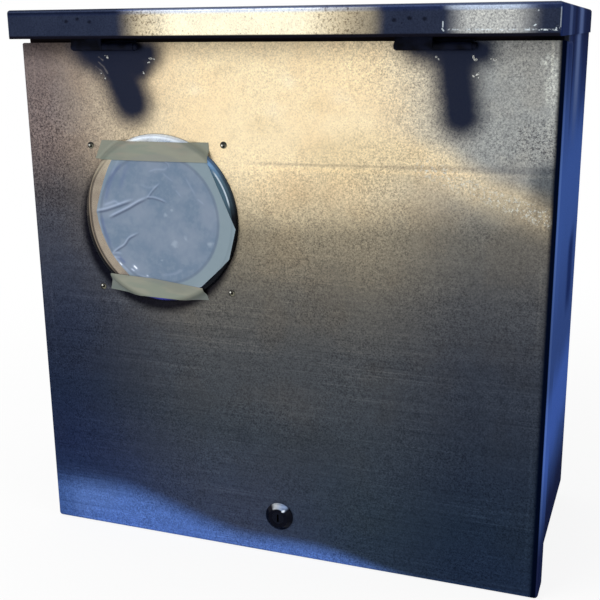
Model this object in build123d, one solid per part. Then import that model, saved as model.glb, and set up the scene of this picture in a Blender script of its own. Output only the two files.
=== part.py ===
"""Wall-hung sheet-steel electrical enclosure with a rain hood and a lift-up door.

Millimetres. X runs to the right, Y runs back into the wall and Z runs up.
The origin is the centre of the four wall-fixing holes, on the back panel's outer face.
"""

from build123d import *
import os

# Sheet and general fits
sheet = 1.2
touch_gap = 0.2
swing_gap = 0.3
running_gap = 0.08
clearance_hole_gap = 0.3
thread_gap = 0.1

# Cabinet body
body_width = 498.0
body_height = 505.0
body_depth = 224.0
body_bend = 2.5
opening_side_rim = 22.0
opening_bottom_rim = 14.5
opening_top_rim = 54.5
opening_corner = 6.0
opening_lip_depth = 10.0
back_flange_depth = 15.0
back_bend = 2.0

# Wall fixing
fixing_inset_x = 34.0
fixing_inset_z = 37.5
fixing_hole_radius = 4.5

# Cable holes and their grommets
cable_x = 60.0
cable_y = -110.0
cable_hole_radius = 14.2
grommet_bore_radius = 10.0
grommet_flange_radius = 18.0
grommet_flange_thickness = 3.0
grommet_edge_chamfer = 1.0

# Mounting plate on its studs
plate_margin_x = 49.0
plate_margin_z = 52.5
plate_sheet = 2.0
plate_corner = 8.0
plate_stud_inset = 20.0
plate_standoff = 20.0
spacer_radius = 6.0
stud_radius = 3.0
stud_chamfer = 0.7
plate_stud_length = 35.0
washer_radius = 6.0
washer_thickness = 1.2
nut_across_flats = 10.0
nut_height = 5.0

# Earth stud
earth_from_side = 24.0
earth_from_bottom = 102.5
earth_stud_length = 25.0

# Rain hood
hood_reach = 25.0
hood_lip_height = 25.8
hood_rear_drop = 3.8
hood_over_body = 0.3
hood_corner = 3.0
hood_lip_return = 12.0
hood_lip_bend = 3.5

# Door
door_gap_side = 3.8
door_standoff = 5.0
door_flange_depth = 27.0
door_bend = 3.5
door_top_corner = 4.0
door_below_body = 13.5
door_below_hood = 3.7

# Door seal
seal_width = 10.0
seal_corner = 8.0
seal_side_margin = 3.0
seal_bottom_margin = 2.0
seal_top_margin = 3.5

# Hinges
hinge_length = 63.5
hinge_left_inset = 92.0
hinge_right_inset = 107.5
hinge_below_hood = 7.4
knuckle_radius = 3.75
knuckle_split = 0.4
knuckle_to_door = 0.55
leaf_thickness = 1.5
frame_leaf_inner_bend = 1.3
frame_leaf_height = 18.6
door_leaf_inner_bend = 0.7
door_leaf_tail = 15.5
pin_radius = 2.0
pin_head_radius = 3.0
pin_head_length = 1.0
pin_tail_length = 3.5
pin_tail_chamfer = 0.8

# Window
window_from_left = 140.8
window_from_top = 161.9
window_turn = 1.7
window_hole_radius = 80.0
window_hole_gap = 0.4
window_sheet = 1.2
window_flange_size = 162.0
window_flange_corner = 6.0
rim_height = 5.0
rim_bend = 4.2
rim_inner_radius = 63.0
pane_radius = 73.5
pane_thickness = 3.0
gasket_thickness = 0.8
gasket_inner_radius = 65.0
retainer_sheet = 1.0
retainer_collar_radius = 72.5
retainer_hole_radius = 66.0

# Blind rivets round the window
rivet_pitch = 138.7
rivet_shank_radius = 1.6
rivet_hole_gap = 0.05
rivet_head_radius = 3.2
rivet_head_height = 0.9
rivet_head_round = 0.5
rivet_core_radius = 0.8
rivet_core_depth = 2.0
rivet_bulb_radius = 2.5
rivet_bulb_length = 3.0

# Film over the window and the two strips of tape that hold it
film_thickness = 0.3
tape_thickness = 0.25
laid_gap = 0.1
tape_ramp = 8.0

# Outlines of the film and the tapes, torn and cut by hand, from the window's centre
film_corners = [
    (-47.7, 54.9), (-55.3, 41.6), (-66.3, 15.8), (-67.3, 3.1), (-63.7, -16.4),
    (-57.0, -32.8), (-45.6, -44.0), (-35.8, -58.4), (-14.8, -70.9), (21.2, -71.4),
    (46.6, -60.2), (63.8, -42.0), (71.6, -34.7), (78.8, -4.9), (74.4, 9.1),
    (60.9, 47.8), (50.2, 60.6), (23.2, 71.1), (-18.8, 70.6),
]
tape_corners = {
    "top": [(-58.8, 72.8), (-2.8, 73.0), (52.4, 73.6),
            (53.1, 55.1), (-2.8, 55.0), (-67.2, 54.4)],
    "bottom": [(-54.6, -55.8), (-9.2, -57.6), (43.5, -63.2),
               (47.4, -75.9), (22.8, -76.8), (-29.6, -75.8), (-58.4, -72.8)],
}

# Cam lock
lock_off_centre = 2.5
lock_above_body_bottom = 28.3
lock_head_radius = 14.0
lock_head_height = 5.0
lock_head_edge = 1.2
lock_head_bevel_width = 4.0
lock_barrel_radius = 9.5
lock_barrel_flats = 16.5
lock_barrel_length = 15.3
lock_hole_gap = 0.1
lock_nut_across_flats = 22.0
lock_nut_height = 4.6
lock_cylinder_radius = 6.25
cylinder_recess = 0.2
key_slot_width = 1.8
key_slot_height = 8.0
key_slot_depth = 14.0
tang_size = 7.0
tang_hole_gap = 0.1
cam_gap = 0.6
cam_thickness = 2.0
cam_width = 13.0
cam_reach = 24.0
cam_screw_radius = 2.0
cam_screw_length = 9.0
cam_screw_head_radius = 5.0
cam_screw_head_height = 2.8
cam_screw_slot_width = 1.2
cam_screw_slot_depth = 1.3

# Planes and edges worked out from the sizes above
body_half = body_width / 2
body_top = body_height / 2
body_bottom = -body_height / 2
body_front = -body_depth
opening_half = body_half - opening_side_rim
opening_bottom = body_bottom + opening_bottom_rim
opening_top = body_top - opening_top_rim
lip_rear = body_front + opening_lip_depth
panel_face = -sheet
fixing_x = body_half - fixing_inset_x
fixing_z = body_top - fixing_inset_z
plate_half_x = body_half - plate_margin_x
plate_half_z = body_top - plate_margin_z
plate_stud_x = plate_half_x - plate_stud_inset
plate_stud_z = plate_half_z - plate_stud_inset
earth_x = -body_half + earth_from_side
earth_z = body_bottom + earth_from_bottom

door_half = body_half + door_gap_side + sheet
door_inside = body_front - door_standoff
door_front = door_inside - sheet
door_rear = door_front + door_flange_depth
door_bottom = body_bottom - door_below_body

hood_half = body_half + touch_gap + sheet
hood_front = door_front - hood_reach
hood_rear_top = body_top + hood_over_body + sheet
hood_front_top = hood_rear_top + hood_rear_drop
hood_bottom = hood_front_top - hood_lip_height
hood_return_rear = hood_front + hood_lip_return
door_top = hood_bottom - door_below_hood

hinge_y = door_front - knuckle_to_door - knuckle_radius
hinge_z = hood_bottom - hinge_below_hood
hinge_spots = {"left": -door_half + hinge_left_inset, "right": door_half - hinge_right_inset}
lock_x = lock_off_centre
lock_z = body_bottom + lock_above_body_bottom

window_x = -door_half + window_from_left
window_z = door_top - window_from_top
rim_front = door_front - rim_height
rim_back = rim_front + window_sheet
rim_radius = window_hole_radius - window_hole_gap
window_flange_rear = door_inside + window_sheet
pane_front = rim_back + gasket_thickness
pane_rear = pane_front + pane_thickness
retainer_rear = window_flange_rear + retainer_sheet
film_back = rim_front - laid_gap
film_front = film_back - film_thickness

lock_head_front = door_front - lock_head_height
lock_barrel_rear = door_inside + lock_barrel_length
cam_front = lip_rear + cam_gap
cam_rear = cam_front + cam_thickness
cylinder_front = lock_head_front + cylinder_recess


def block(x_from, x_to, y_from, y_to, z_from, z_to):
    """Box between two corners."""
    centre = Pos((x_from + x_to) / 2, (y_from + y_to) / 2, (z_from + z_to) / 2)
    return centre * Box(x_to - x_from, y_to - y_from, z_to - z_from)


def rounded_block(radius, *extents):
    """Block whose four edges along Y are rounded."""
    shape = block(*extents)
    return fillet(shape.edges().filter_by(Axis.Y), radius)


def rod_x(radius, x_from, x_to, y, z):
    """Round bar along X."""
    return Pos((x_from + x_to) / 2, y, z) * Rot(0, 90, 0) * Cylinder(radius, x_to - x_from)


def rod_y(radius, y_from, y_to, x, z):
    """Round bar along Y."""
    return Pos(x, (y_from + y_to) / 2, z) * Rot(90, 0, 0) * Cylinder(radius, y_to - y_from)


def rod_z(radius, z_from, z_to, x, y):
    """Round bar along Z."""
    return Pos(x, y, (z_from + z_to) / 2) * Cylinder(radius, z_to - z_from)


def ring_y(radius, bore, y_from, y_to, x, z):
    """Plain round ring between two Y planes."""
    return rod_y(radius, y_from, y_to, x, z) - rod_y(bore, y_from - sheet, y_to + sheet, x, z)


def hexagon_y(across_flats, y_from, y_to, x, z):
    """Hexagonal bar along Y."""
    profile = Plane.XZ * RegularPolygon(across_flats / 2, 6, major_radius=False)
    return Pos(x, y_to, z) * extrude(profile, amount=y_to - y_from, dir=(0, -1, 0))


def turned_y(outline, x, z):
    """Solid turned about an axis along Y, from an outline whose points are radius and Y."""
    return Pos(x, 0, z) * revolve(make_face(outline), Axis.Y)


def window_sheet_y(corners, y_from, y_to):
    """Flat sheet between two Y planes, cut to an outline of corners about the window's centre."""
    profile = Plane.XZ * make_face(Polyline(*corners, close=True))
    return Pos(window_x, y_to, window_z) * extrude(profile, amount=y_to - y_from, dir=(0, -1, 0))


def prism_x(section, x_from, x_to):
    """Bar along X with a section drawn in Y and Z."""
    return Pos(x_from, 0, 0) * extrude(Plane.YZ * section, amount=x_to - x_from, dir=(1, 0, 0))


def folded_strip(points, bends, x_from, x_to):
    """Leaf steel folded along Y and Z points, the sheet lying to the left of its path."""
    path = FilletPolyline(*points, radius=bends)
    section = path.offset_2d(leaf_thickness, kind=Kind.ARC, side=Side.LEFT)
    return prism_x(make_face(section), x_from, x_to)


def one_solid(shape):
    """The single solid of a part that must be one piece."""
    solids = shape.solids()
    assert len(solids) == 1, f"{len(solids)} solids where there should be one"
    return solids[0]


def corner_spots(half_x, half_z):
    """Centres of four holes in a rectangle about the origin."""
    return [(sx * half_x, sz * half_z) for sx in (-1, 1) for sz in (-1, 1)]


def rivet_spots():
    """Centres of the four rivets: a square about the window, turned a little."""
    spots = []
    for x, z in corner_spots(rivet_pitch / 2, rivet_pitch / 2):
        turned = Vector(x, z, 0).rotate(Axis.Z, window_turn)
        spots.append((window_x + turned.X, window_z + turned.Y))
    return spots


# Cabinet

def wrap_skin(inset, rear):
    """Outside or inside skin of the wrap: sides and front rounded where the sheet is folded."""
    half = body_half - inset
    skin = block(-half, half, body_front + inset, rear, body_bottom + inset, body_top - inset)
    front_edges = skin.faces().sort_by(Axis.Y)[0].edges()
    return fillet(skin.edges().filter_by(Axis.Y) + front_edges, body_bend - inset)


def opening_block(grow, y_from, y_to):
    """Door opening as a block, grown outwards by grow."""
    return rounded_block(opening_corner + grow, -opening_half - grow, opening_half + grow,
                         y_from, y_to, opening_bottom - grow, opening_top + grow)


def make_body_wrap():
    wrap = wrap_skin(0, 0) - wrap_skin(sheet, sheet)
    wrap -= opening_block(0, body_front - sheet, lip_rear)
    lip = opening_block(sheet, body_front + sheet / 2, lip_rear)
    wrap += lip - opening_block(0, body_front, lip_rear + sheet)
    for side in (-1, 1):
        wrap -= rod_z(cable_hole_radius, body_bottom - sheet, body_bottom + 2 * sheet,
                      side * cable_x, cable_y)
    return one_solid(wrap)


def pan_skin(inset):
    """Outside or inside skin of the back panel, whose flanges run forward into the wrap."""
    half_x = body_half - sheet - touch_gap - inset
    half_z = body_top - sheet - touch_gap - inset
    skin = block(-half_x, half_x, -back_flange_depth - inset, -inset, -half_z, half_z)
    rear_edges = skin.faces().sort_by(Axis.Y)[-1].edges()
    return fillet(skin.edges().filter_by(Axis.Y) + rear_edges, back_bend - inset)


def make_back_panel():
    panel = pan_skin(0) - pan_skin(sheet)
    for x, z in corner_spots(fixing_x, fixing_z):
        panel -= rod_y(fixing_hole_radius, -2 * sheet, sheet, x, z)
    return one_solid(panel)


def hood_skin(inset, rear):
    """Outside or inside skin of the hood: a wedge with its folds rounded."""
    slope = hood_rear_drop / -hood_front
    front = hood_front + inset
    section = make_face(Polyline(
        (rear, hood_bottom + inset),
        (front, hood_bottom + inset),
        (front, hood_front_top - inset - slope * inset),
        (rear, hood_rear_top - inset - slope * rear),
        close=True,
    ))
    half = hood_half - inset
    wedge = prism_x(section, -half, half)
    top_edges = wedge.faces().sort_by(Axis.Z)[-1].edges().sort_by(Axis.Y)[:-1]
    uprights = wedge.edges().filter_by(Axis.Z).group_by(Axis.Y)[0]
    wedge = fillet(top_edges + uprights, hood_corner - inset)
    foot = section.vertices().sort_by(lambda corner: corner.X + corner.Y)[0]
    return wedge & prism_x(fillet(foot, hood_lip_bend - inset), -half, half)


def make_rain_hood():
    hood = hood_skin(0, 0) - hood_skin(sheet, sheet)
    inner_half = hood_half - sheet
    hood -= block(-inner_half, inner_half, hood_return_rear, sheet,
                  hood_bottom - sheet, hood_bottom + 2 * sheet)
    return one_solid(hood)


# Mounting plate and earth stud

def make_mounting_plate():
    rear = panel_face - plate_standoff
    plate = rounded_block(plate_corner, -plate_half_x, plate_half_x, rear - plate_sheet, rear,
                          -plate_half_z, plate_half_z)
    hole_radius = stud_radius + clearance_hole_gap
    for x, z in corner_spots(plate_stud_x, plate_stud_z):
        plate -= rod_y(hole_radius, rear - 2 * plate_sheet, rear + sheet, x, z)
    return one_solid(plate)


def washer_at(x, z, rear):
    """Plain washer whose rear face lies at rear."""
    bore = stud_radius + clearance_hole_gap
    return ring_y(washer_radius, bore, rear - washer_thickness, rear, x, z)


def nut_at(x, z, rear):
    """Hexagon nut whose rear face lies at rear."""
    front = rear - nut_height
    bore = rod_y(stud_radius + thread_gap, front - sheet, rear + sheet, x, z)
    return hexagon_y(nut_across_flats, front, rear, x, z) - bore


def stud_at(x, z, length):
    """Weld stud standing forward from the back panel, with a chamfered end."""
    stud = rod_y(stud_radius, panel_face - length, panel_face, x, z)
    return chamfer(stud.edges().sort_by(Axis.Y)[0], stud_chamfer)


def make_plate_fixings():
    """Spacers, studs, washers and nuts of the mounting plate, four of each."""
    spots = corner_spots(plate_stud_x, plate_stud_z)
    plate_rear = panel_face - plate_standoff
    plate_front = plate_rear - plate_sheet
    bore = stud_radius + clearance_hole_gap
    return {
        "plate_spacers": [ring_y(spacer_radius, bore, plate_rear, panel_face, x, z)
                          for x, z in spots],
        "plate_studs": [stud_at(x, z, plate_stud_length) for x, z in spots],
        "plate_washers": [washer_at(x, z, plate_front) for x, z in spots],
        "plate_nuts": [nut_at(x, z, plate_front - washer_thickness) for x, z in spots],
    }


def make_earth_terminal():
    """Earth stud with a nut, two washers and a second nut, from the back panel outwards."""
    first_washer = panel_face - nut_height
    second_washer = first_washer - washer_thickness
    second_nut = second_washer - washer_thickness
    return {
        "earth_stud": [stud_at(earth_x, earth_z, earth_stud_length)],
        "earth_washers": [washer_at(earth_x, earth_z, rear)
                          for rear in (first_washer, second_washer)],
        "earth_nuts": [nut_at(earth_x, earth_z, rear) for rear in (panel_face, second_nut)],
    }


def make_cable_grommet(x):
    """Rubber grommet that grips the rim of a cable hole between two flanges."""
    outside = body_bottom
    inside = body_bottom + sheet
    low = outside - grommet_flange_thickness
    high = inside + grommet_flange_thickness
    lower = rod_z(grommet_flange_radius, low, outside, x, cable_y)
    upper = rod_z(grommet_flange_radius, inside, high, x, cable_y)
    body = rod_z(cable_hole_radius - touch_gap, low, high, x, cable_y)
    body += chamfer(lower.edges().sort_by(Axis.Z)[0], grommet_edge_chamfer)
    body += chamfer(upper.edges().sort_by(Axis.Z)[-1], grommet_edge_chamfer)
    return one_solid(body - rod_z(grommet_bore_radius, low - sheet, high + sheet, x, cable_y))


# Hinges

def with_knuckle(leaf, x_from, x_to):
    """Adds the rolled knuckle to a leaf and bores it for the pin."""
    leaf += rod_x(knuckle_radius, x_from, x_to, hinge_y, hinge_z)
    leaf -= rod_x(pin_radius + running_gap, x_from - sheet, x_to + sheet, hinge_y, hinge_z)
    return one_solid(leaf)


def make_frame_leaf(centre_x):
    """Leaf welded behind the hood's lip: up from the knuckle, forward and up again."""
    x_from = centre_x - hinge_length / 2
    x_to = centre_x - knuckle_split / 2
    shelf_top = hood_bottom + sheet + touch_gap + leaf_thickness
    riser_rear = hood_front + sheet + touch_gap + leaf_thickness
    drop_rear = hinge_y - knuckle_radius + leaf_thickness
    points = [
        (drop_rear, hinge_z),
        (drop_rear, shelf_top),
        (riser_rear, shelf_top),
        (riser_rear, shelf_top + frame_leaf_height),
    ]
    bends = [frame_leaf_inner_bend + leaf_thickness, frame_leaf_inner_bend]
    return with_knuckle(folded_strip(points, bends, x_from, x_to), x_from, x_to)


def make_door_leaf(centre_x):
    """Leaf that hooks over the door's top edge and runs down behind the door sheet."""
    x_from = centre_x + knuckle_split / 2
    x_to = centre_x + hinge_length / 2
    riser_rear = hinge_y + knuckle_radius
    bridge_under = door_top + door_leaf_inner_bend
    points = [
        (riser_rear, hinge_z),
        (riser_rear, bridge_under),
        (door_inside, bridge_under),
        (door_inside, door_top - door_leaf_tail),
    ]
    return with_knuckle(folded_strip(points, door_leaf_inner_bend, x_from, x_to), x_from, x_to)


def make_hinge_pin(centre_x):
    """Pin through both knuckles, with a flat head at the left and a chamfered one at the right."""
    left = centre_x - hinge_length / 2 - swing_gap
    right = centre_x + hinge_length / 2 + swing_gap
    tail = rod_x(pin_head_radius, right, right + pin_tail_length, hinge_y, hinge_z)
    pin = chamfer(tail.edges().sort_by(Axis.X)[-1], pin_tail_chamfer)
    pin += rod_x(pin_radius, left, right, hinge_y, hinge_z)
    pin += rod_x(pin_head_radius, left - pin_head_length, left, hinge_y, hinge_z)
    return one_solid(pin)


# Door

def door_skin(inset, top, rear):
    """Outside or inside skin of the door pan, folded at the sides and the foot."""
    half = door_half - inset
    skin = block(-half, half, door_front + inset, rear, door_bottom + inset, top)
    folds = skin.faces().sort_by(Axis.Y)[0].edges().sort_by(Axis.Z)[:-1]
    foot_corners = skin.edges().filter_by(Axis.Y).group_by(Axis.Z)[0]
    return fillet(folds + foot_corners, door_bend - inset)


def lock_bar(grow, y_from, y_to):
    """Lock barrel with its two flats, grown outwards by grow."""
    flats = lock_barrel_flats / 2 + grow
    radius = lock_barrel_radius + grow
    bar = rod_y(radius, y_from, y_to, lock_x, lock_z)
    return bar & block(lock_x - flats, lock_x + flats, y_from, y_to,
                       lock_z - radius, lock_z + radius)


def drill_for_rivets(plate, y_from, y_to):
    """Takes the four rivet holes out of a plate."""
    for x, z in rivet_spots():
        plate -= rod_y(rivet_shank_radius + rivet_hole_gap, y_from - sheet, y_to + sheet, x, z)
    return plate


def make_door_panel():
    panel = door_skin(0, door_top, door_rear)
    panel &= rounded_block(door_top_corner, -door_half, door_half, door_front, door_rear,
                           door_bottom - 2 * door_bend, door_top)
    panel -= door_skin(sheet, door_top + door_flange_depth, door_rear + sheet)
    panel -= rod_y(window_hole_radius, door_front - sheet, door_inside + sheet,
                   window_x, window_z)
    panel -= lock_bar(lock_hole_gap, door_front - sheet, door_inside + sheet)
    return one_solid(drill_for_rivets(panel, door_front, door_inside))


def make_door_seal():
    """Foam strip that meets the front rim of the cabinet all round the opening."""
    rear = body_front - swing_gap
    half = opening_half + seal_side_margin
    bottom = opening_bottom - seal_bottom_margin
    top = opening_top + seal_top_margin
    outside = rounded_block(seal_corner + seal_width, -half - seal_width, half + seal_width,
                            door_inside, rear, bottom - seal_width, top + seal_width)
    inside = rounded_block(seal_corner, -half, half, door_inside - sheet, rear + sheet,
                           bottom, top)
    return one_solid(outside - inside)


# Window

def window_square(front, rear):
    """Square plate about the window, turned with its rivets and drilled for them."""
    half = window_flange_size / 2
    plate = rounded_block(window_flange_corner, -half, half, front, rear, -half, half)
    plate = Pos(window_x, 0, window_z) * Rot(0, -window_turn, 0) * plate
    return drill_for_rivets(plate, front, rear)


def make_window_frame():
    """Square flange behind the door and the raised rim pressed from it, through the hole."""
    path = FilletPolyline(
        (rim_radius, window_flange_rear),
        (rim_radius, rim_front),
        (rim_inner_radius, rim_front),
        radius=rim_bend,
    )
    section = path.offset_2d(window_sheet, kind=Kind.ARC, side=Side.RIGHT)
    rim = turned_y(section, window_x, window_z)
    flange = window_square(door_inside, window_flange_rear)
    flange -= rod_y(rim_radius - window_sheet / 2, door_inside - sheet,
                    window_flange_rear + sheet, window_x, window_z)
    return one_solid(flange + rim)


def make_window_gasket():
    return ring_y(pane_radius, gasket_inner_radius, rim_back, pane_front, window_x, window_z)


def make_window_pane():
    return rod_y(pane_radius, pane_front, pane_rear, window_x, window_z)


def make_window_retainer():
    """Plate behind the flange with a collar that presses the pane on its gasket."""
    plate = window_square(window_flange_rear, retainer_rear)
    plate += rod_y(retainer_collar_radius, pane_rear, retainer_rear, window_x, window_z)
    plate -= rod_y(retainer_hole_radius, pane_rear - sheet, retainer_rear + sheet,
                   window_x, window_z)
    return one_solid(plate)


def make_window_rivet(x, z):
    """Blind rivet: round head with the hollow of its pulled stem, shank and rear bulb."""
    head_front = door_front - rivet_head_height
    bulb_rear = retainer_rear + rivet_bulb_length
    outline = Polyline(
        (0, head_front + rivet_core_depth),
        (rivet_core_radius, head_front + rivet_core_depth),
        (rivet_core_radius, head_front),
        (rivet_head_radius - rivet_head_round, head_front),
        (rivet_head_radius, head_front + rivet_head_round),
        (rivet_head_radius, door_front),
        (rivet_shank_radius, door_front),
        (rivet_shank_radius, retainer_rear),
        (rivet_bulb_radius, retainer_rear),
        (rivet_bulb_radius, bulb_rear - rivet_bulb_radius / 2),
        (rivet_bulb_radius / 2, bulb_rear),
        (0, bulb_rear),
        close=True,
    )
    return one_solid(turned_y(outline, x, z))


def make_window_film():
    return one_solid(window_sheet_y(film_corners, film_front, film_back))


def tape_form(lift):
    """Door face and window rim as the tape meets them, raised by lift and ramped at the rim."""
    low = door_front - lift
    high = film_front - lift
    rim_top = rim_radius + lift
    foot = rim_radius + tape_ramp
    hill = Polyline((0, door_inside), (foot, door_inside), (foot, low), (rim_top, high),
                    (0, high), close=True)
    half = door_half - door_bend
    face = block(-half, half, low, door_inside, door_bottom + door_bend, door_top)
    return face + turned_y(hill, window_x, window_z)


def make_tape(corners):
    """Strip of tape lying on the door face and over the window's rim and film."""
    strip = window_sheet_y(corners, film_front - rim_height, door_front)
    layer = tape_form(laid_gap + tape_thickness) - tape_form(laid_gap)
    return one_solid(strip & layer)


# Cam lock

def make_lock_housing():
    """Bevelled round head in front of the door, flatted barrel through it, bored right through."""
    outline = Polyline(
        (0, door_front),
        (lock_head_radius, door_front),
        (lock_head_radius, door_front - lock_head_edge),
        (lock_head_radius - lock_head_bevel_width, lock_head_front),
        (0, lock_head_front),
        close=True,
    )
    housing = turned_y(outline, lock_x, lock_z) + lock_bar(0, door_front, lock_barrel_rear)
    housing -= rod_y(lock_cylinder_radius + running_gap, lock_head_front - sheet,
                     lock_barrel_rear + sheet, lock_x, lock_z)
    return one_solid(housing)


def make_lock_nut():
    rear = door_inside + lock_nut_height
    nut = hexagon_y(lock_nut_across_flats, door_inside, rear, lock_x, lock_z)
    bore_radius = lock_barrel_radius + thread_gap
    return one_solid(nut - rod_y(bore_radius, door_inside - sheet, rear + sheet, lock_x, lock_z))


def make_lock_cylinder():
    """Turning cylinder with its key slot, a square tang for the cam and a tapped end."""
    cylinder = rod_y(lock_cylinder_radius, cylinder_front, cam_front, lock_x, lock_z)
    half = tang_size / 2
    cylinder += block(lock_x - half, lock_x + half, cam_front - sheet, cam_rear,
                      lock_z - half, lock_z + half)
    slot = key_slot_width / 2
    cylinder -= block(lock_x - slot, lock_x + slot, cylinder_front - sheet,
                      cylinder_front + key_slot_depth,
                      lock_z - key_slot_height / 2, lock_z + key_slot_height / 2)
    cylinder -= rod_y(cam_screw_radius + thread_gap, cam_rear - cam_screw_length,
                      cam_rear + sheet, lock_x, lock_z)
    return one_solid(cylinder)


def make_lock_cam():
    """Flat cam with round ends, pointing right when the lock is open."""
    half = cam_width / 2
    tip = lock_x + cam_reach - half
    cam = block(lock_x, tip, cam_front, cam_rear, lock_z - half, lock_z + half)
    for x in (lock_x, tip):
        cam += rod_y(half, cam_front, cam_rear, x, lock_z)
    hole = tang_size / 2 + tang_hole_gap
    cam -= block(lock_x - hole, lock_x + hole, cam_front - sheet, cam_rear + sheet,
                 lock_z - hole, lock_z + hole)
    return one_solid(cam)


def make_lock_cam_screw():
    """Slotted screw that holds the cam on the tang."""
    head_rear = cam_rear + cam_screw_head_height
    screw = rod_y(cam_screw_head_radius, cam_rear, head_rear, lock_x, lock_z)
    screw += rod_y(cam_screw_radius, cam_rear - cam_screw_length, cam_rear, lock_x, lock_z)
    slot = cam_screw_slot_width / 2
    screw -= block(lock_x - cam_screw_head_radius, lock_x + cam_screw_head_radius,
                   head_rear - cam_screw_slot_depth, head_rear + sheet,
                   lock_z - slot, lock_z + slot)
    return one_solid(screw)


def make_all_parts():
    """Every sub-part by name, each as a list of its separate solids."""
    parts = {
        "body_wrap": [make_body_wrap()],
        "back_panel": [make_back_panel()],
        "rain_hood": [make_rain_hood()],
        "mounting_plate": [make_mounting_plate()],
        "cable_grommet_left": [make_cable_grommet(-cable_x)],
        "cable_grommet_right": [make_cable_grommet(cable_x)],
        "door_panel": [make_door_panel()],
        "door_seal": [make_door_seal()],
        "window_frame": [make_window_frame()],
        "window_gasket": [make_window_gasket()],
        "window_pane": [make_window_pane()],
        "window_retainer": [make_window_retainer()],
        "window_rivets": [make_window_rivet(x, z) for x, z in rivet_spots()],
        "window_film": [make_window_film()],
        "lock_housing": [make_lock_housing()],
        "lock_nut": [make_lock_nut()],
        "lock_cylinder": [make_lock_cylinder()],
        "lock_cam": [make_lock_cam()],
        "lock_cam_screw": [make_lock_cam_screw()],
    }
    for side, centre_x in hinge_spots.items():
        parts[f"hinge_frame_leaf_{side}"] = [make_frame_leaf(centre_x)]
        parts[f"hinge_door_leaf_{side}"] = [make_door_leaf(centre_x)]
        parts[f"hinge_pin_{side}"] = [make_hinge_pin(centre_x)]
    for end, corners in tape_corners.items():
        parts[f"tape_{end}"] = [make_tape(corners)]
    parts.update(make_plate_fixings())
    parts.update(make_earth_terminal())
    return parts


os.makedirs("parts", exist_ok=True)
for name, solids in make_all_parts().items():
    shape = solids[0] if len(solids) == 1 else Compound(children=solids)
    export_step(shape, f"parts/{name}.step")
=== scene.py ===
"""Looks of the wall-hung steel enclosure: its finishes, the film and tapes on its window,
its weld marks, and the studio that it stands in.

Metres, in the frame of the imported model: X to the right, Y back into the wall, Z up.
"""

import math

import bpy
from bpy.props import FloatProperty, FloatVectorProperty, IntProperty, PointerProperty
from mathutils import Color, Matrix, Vector


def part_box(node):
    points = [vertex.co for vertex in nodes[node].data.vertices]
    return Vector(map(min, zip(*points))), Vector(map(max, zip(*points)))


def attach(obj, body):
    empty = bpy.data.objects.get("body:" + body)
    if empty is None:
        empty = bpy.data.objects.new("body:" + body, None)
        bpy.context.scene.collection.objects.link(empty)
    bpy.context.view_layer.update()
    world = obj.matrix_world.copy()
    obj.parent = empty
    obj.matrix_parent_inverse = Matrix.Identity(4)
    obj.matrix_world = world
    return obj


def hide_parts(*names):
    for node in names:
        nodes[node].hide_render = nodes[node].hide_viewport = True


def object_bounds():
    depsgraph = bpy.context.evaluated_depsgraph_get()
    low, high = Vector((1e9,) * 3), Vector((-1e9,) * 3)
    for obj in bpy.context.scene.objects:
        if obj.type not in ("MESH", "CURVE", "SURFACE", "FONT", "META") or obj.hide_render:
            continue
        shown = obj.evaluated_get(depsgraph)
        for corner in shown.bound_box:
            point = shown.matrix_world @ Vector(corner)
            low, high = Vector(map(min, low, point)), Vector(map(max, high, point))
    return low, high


bl_info = {
    "name": "Wall enclosure looks",
    "version": (1, 0, 0),
    "blender": (4, 5, 0),
    "location": "View3D > Sidebar > Enclosure",
    "description": "Finishes, window film, tapes, weld marks and studio for a steel enclosure",
    "category": "Object",
}

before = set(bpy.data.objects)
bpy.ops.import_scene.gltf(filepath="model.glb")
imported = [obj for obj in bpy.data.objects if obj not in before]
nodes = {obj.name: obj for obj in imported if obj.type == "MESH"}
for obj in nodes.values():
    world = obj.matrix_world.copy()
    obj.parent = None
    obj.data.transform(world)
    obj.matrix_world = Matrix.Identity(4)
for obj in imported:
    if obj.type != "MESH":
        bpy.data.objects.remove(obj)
CAD_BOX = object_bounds()

MM = 0.001
DOOR_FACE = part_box("door_panel")[0].y
HOOD_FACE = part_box("rain_hood")[0].y
HOOD_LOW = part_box("rain_hood")[0].z
HOOD_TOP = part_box("rain_hood")[1].z
PANE_LOW, PANE_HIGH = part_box("window_pane")
WINDOW_X = (PANE_LOW.x + PANE_HIGH.x) / 2
WINDOW_Z = (PANE_LOW.z + PANE_HIGH.z) / 2
LOCK_LOW, LOCK_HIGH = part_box("lock_housing")
LOCK_X = (LOCK_LOW.x + LOCK_HIGH.x) / 2
LOCK_Z = (LOCK_LOW.z + LOCK_HIGH.z) / 2
SIDE_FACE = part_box("body_wrap")[1].x
DOOR_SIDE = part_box("door_panel")[1].x
DOOR_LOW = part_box("door_panel")[0].z
DOOR_BEND = 3.5 * MM
FLOOR_LEVEL = CAD_BOX[0][2] - 0.5 * MM
LAMPS_LOOK_AT = Vector((0, -0.1, 0))

# Where the hood's lip starts and ends its bend into the right cheek
HOOD_CHEEK = 248.2 * MM, 249.8 * MM
# Worn upright lines on the door, to the left and right of its middle
DOOR_LINES = 241.5 * MM
# Radii of the rim's opening, the bend round its flat face and its outer edge
RIM_HOLE = 61.8 * MM
RIM_BEND = 75.2 * MM
RIM_EDGE = 77.2 * MM
# Radii in millimetres where the film's sag ends, and where the tape runs from rim to door
FILM_SETTLES = 52, 65
TAPE_SETTLES = 78.6, 85.5
# How far the tape stands off the door, and the cells of its mesh
TAPE_GAP = 0.12 * MM
TAPE_CELL = 0.8 * MM
SMOOTH_BELOW = math.radians(50)
# Depth of a pattern that runs right through the part
THROUGH = 1000.0

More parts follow.
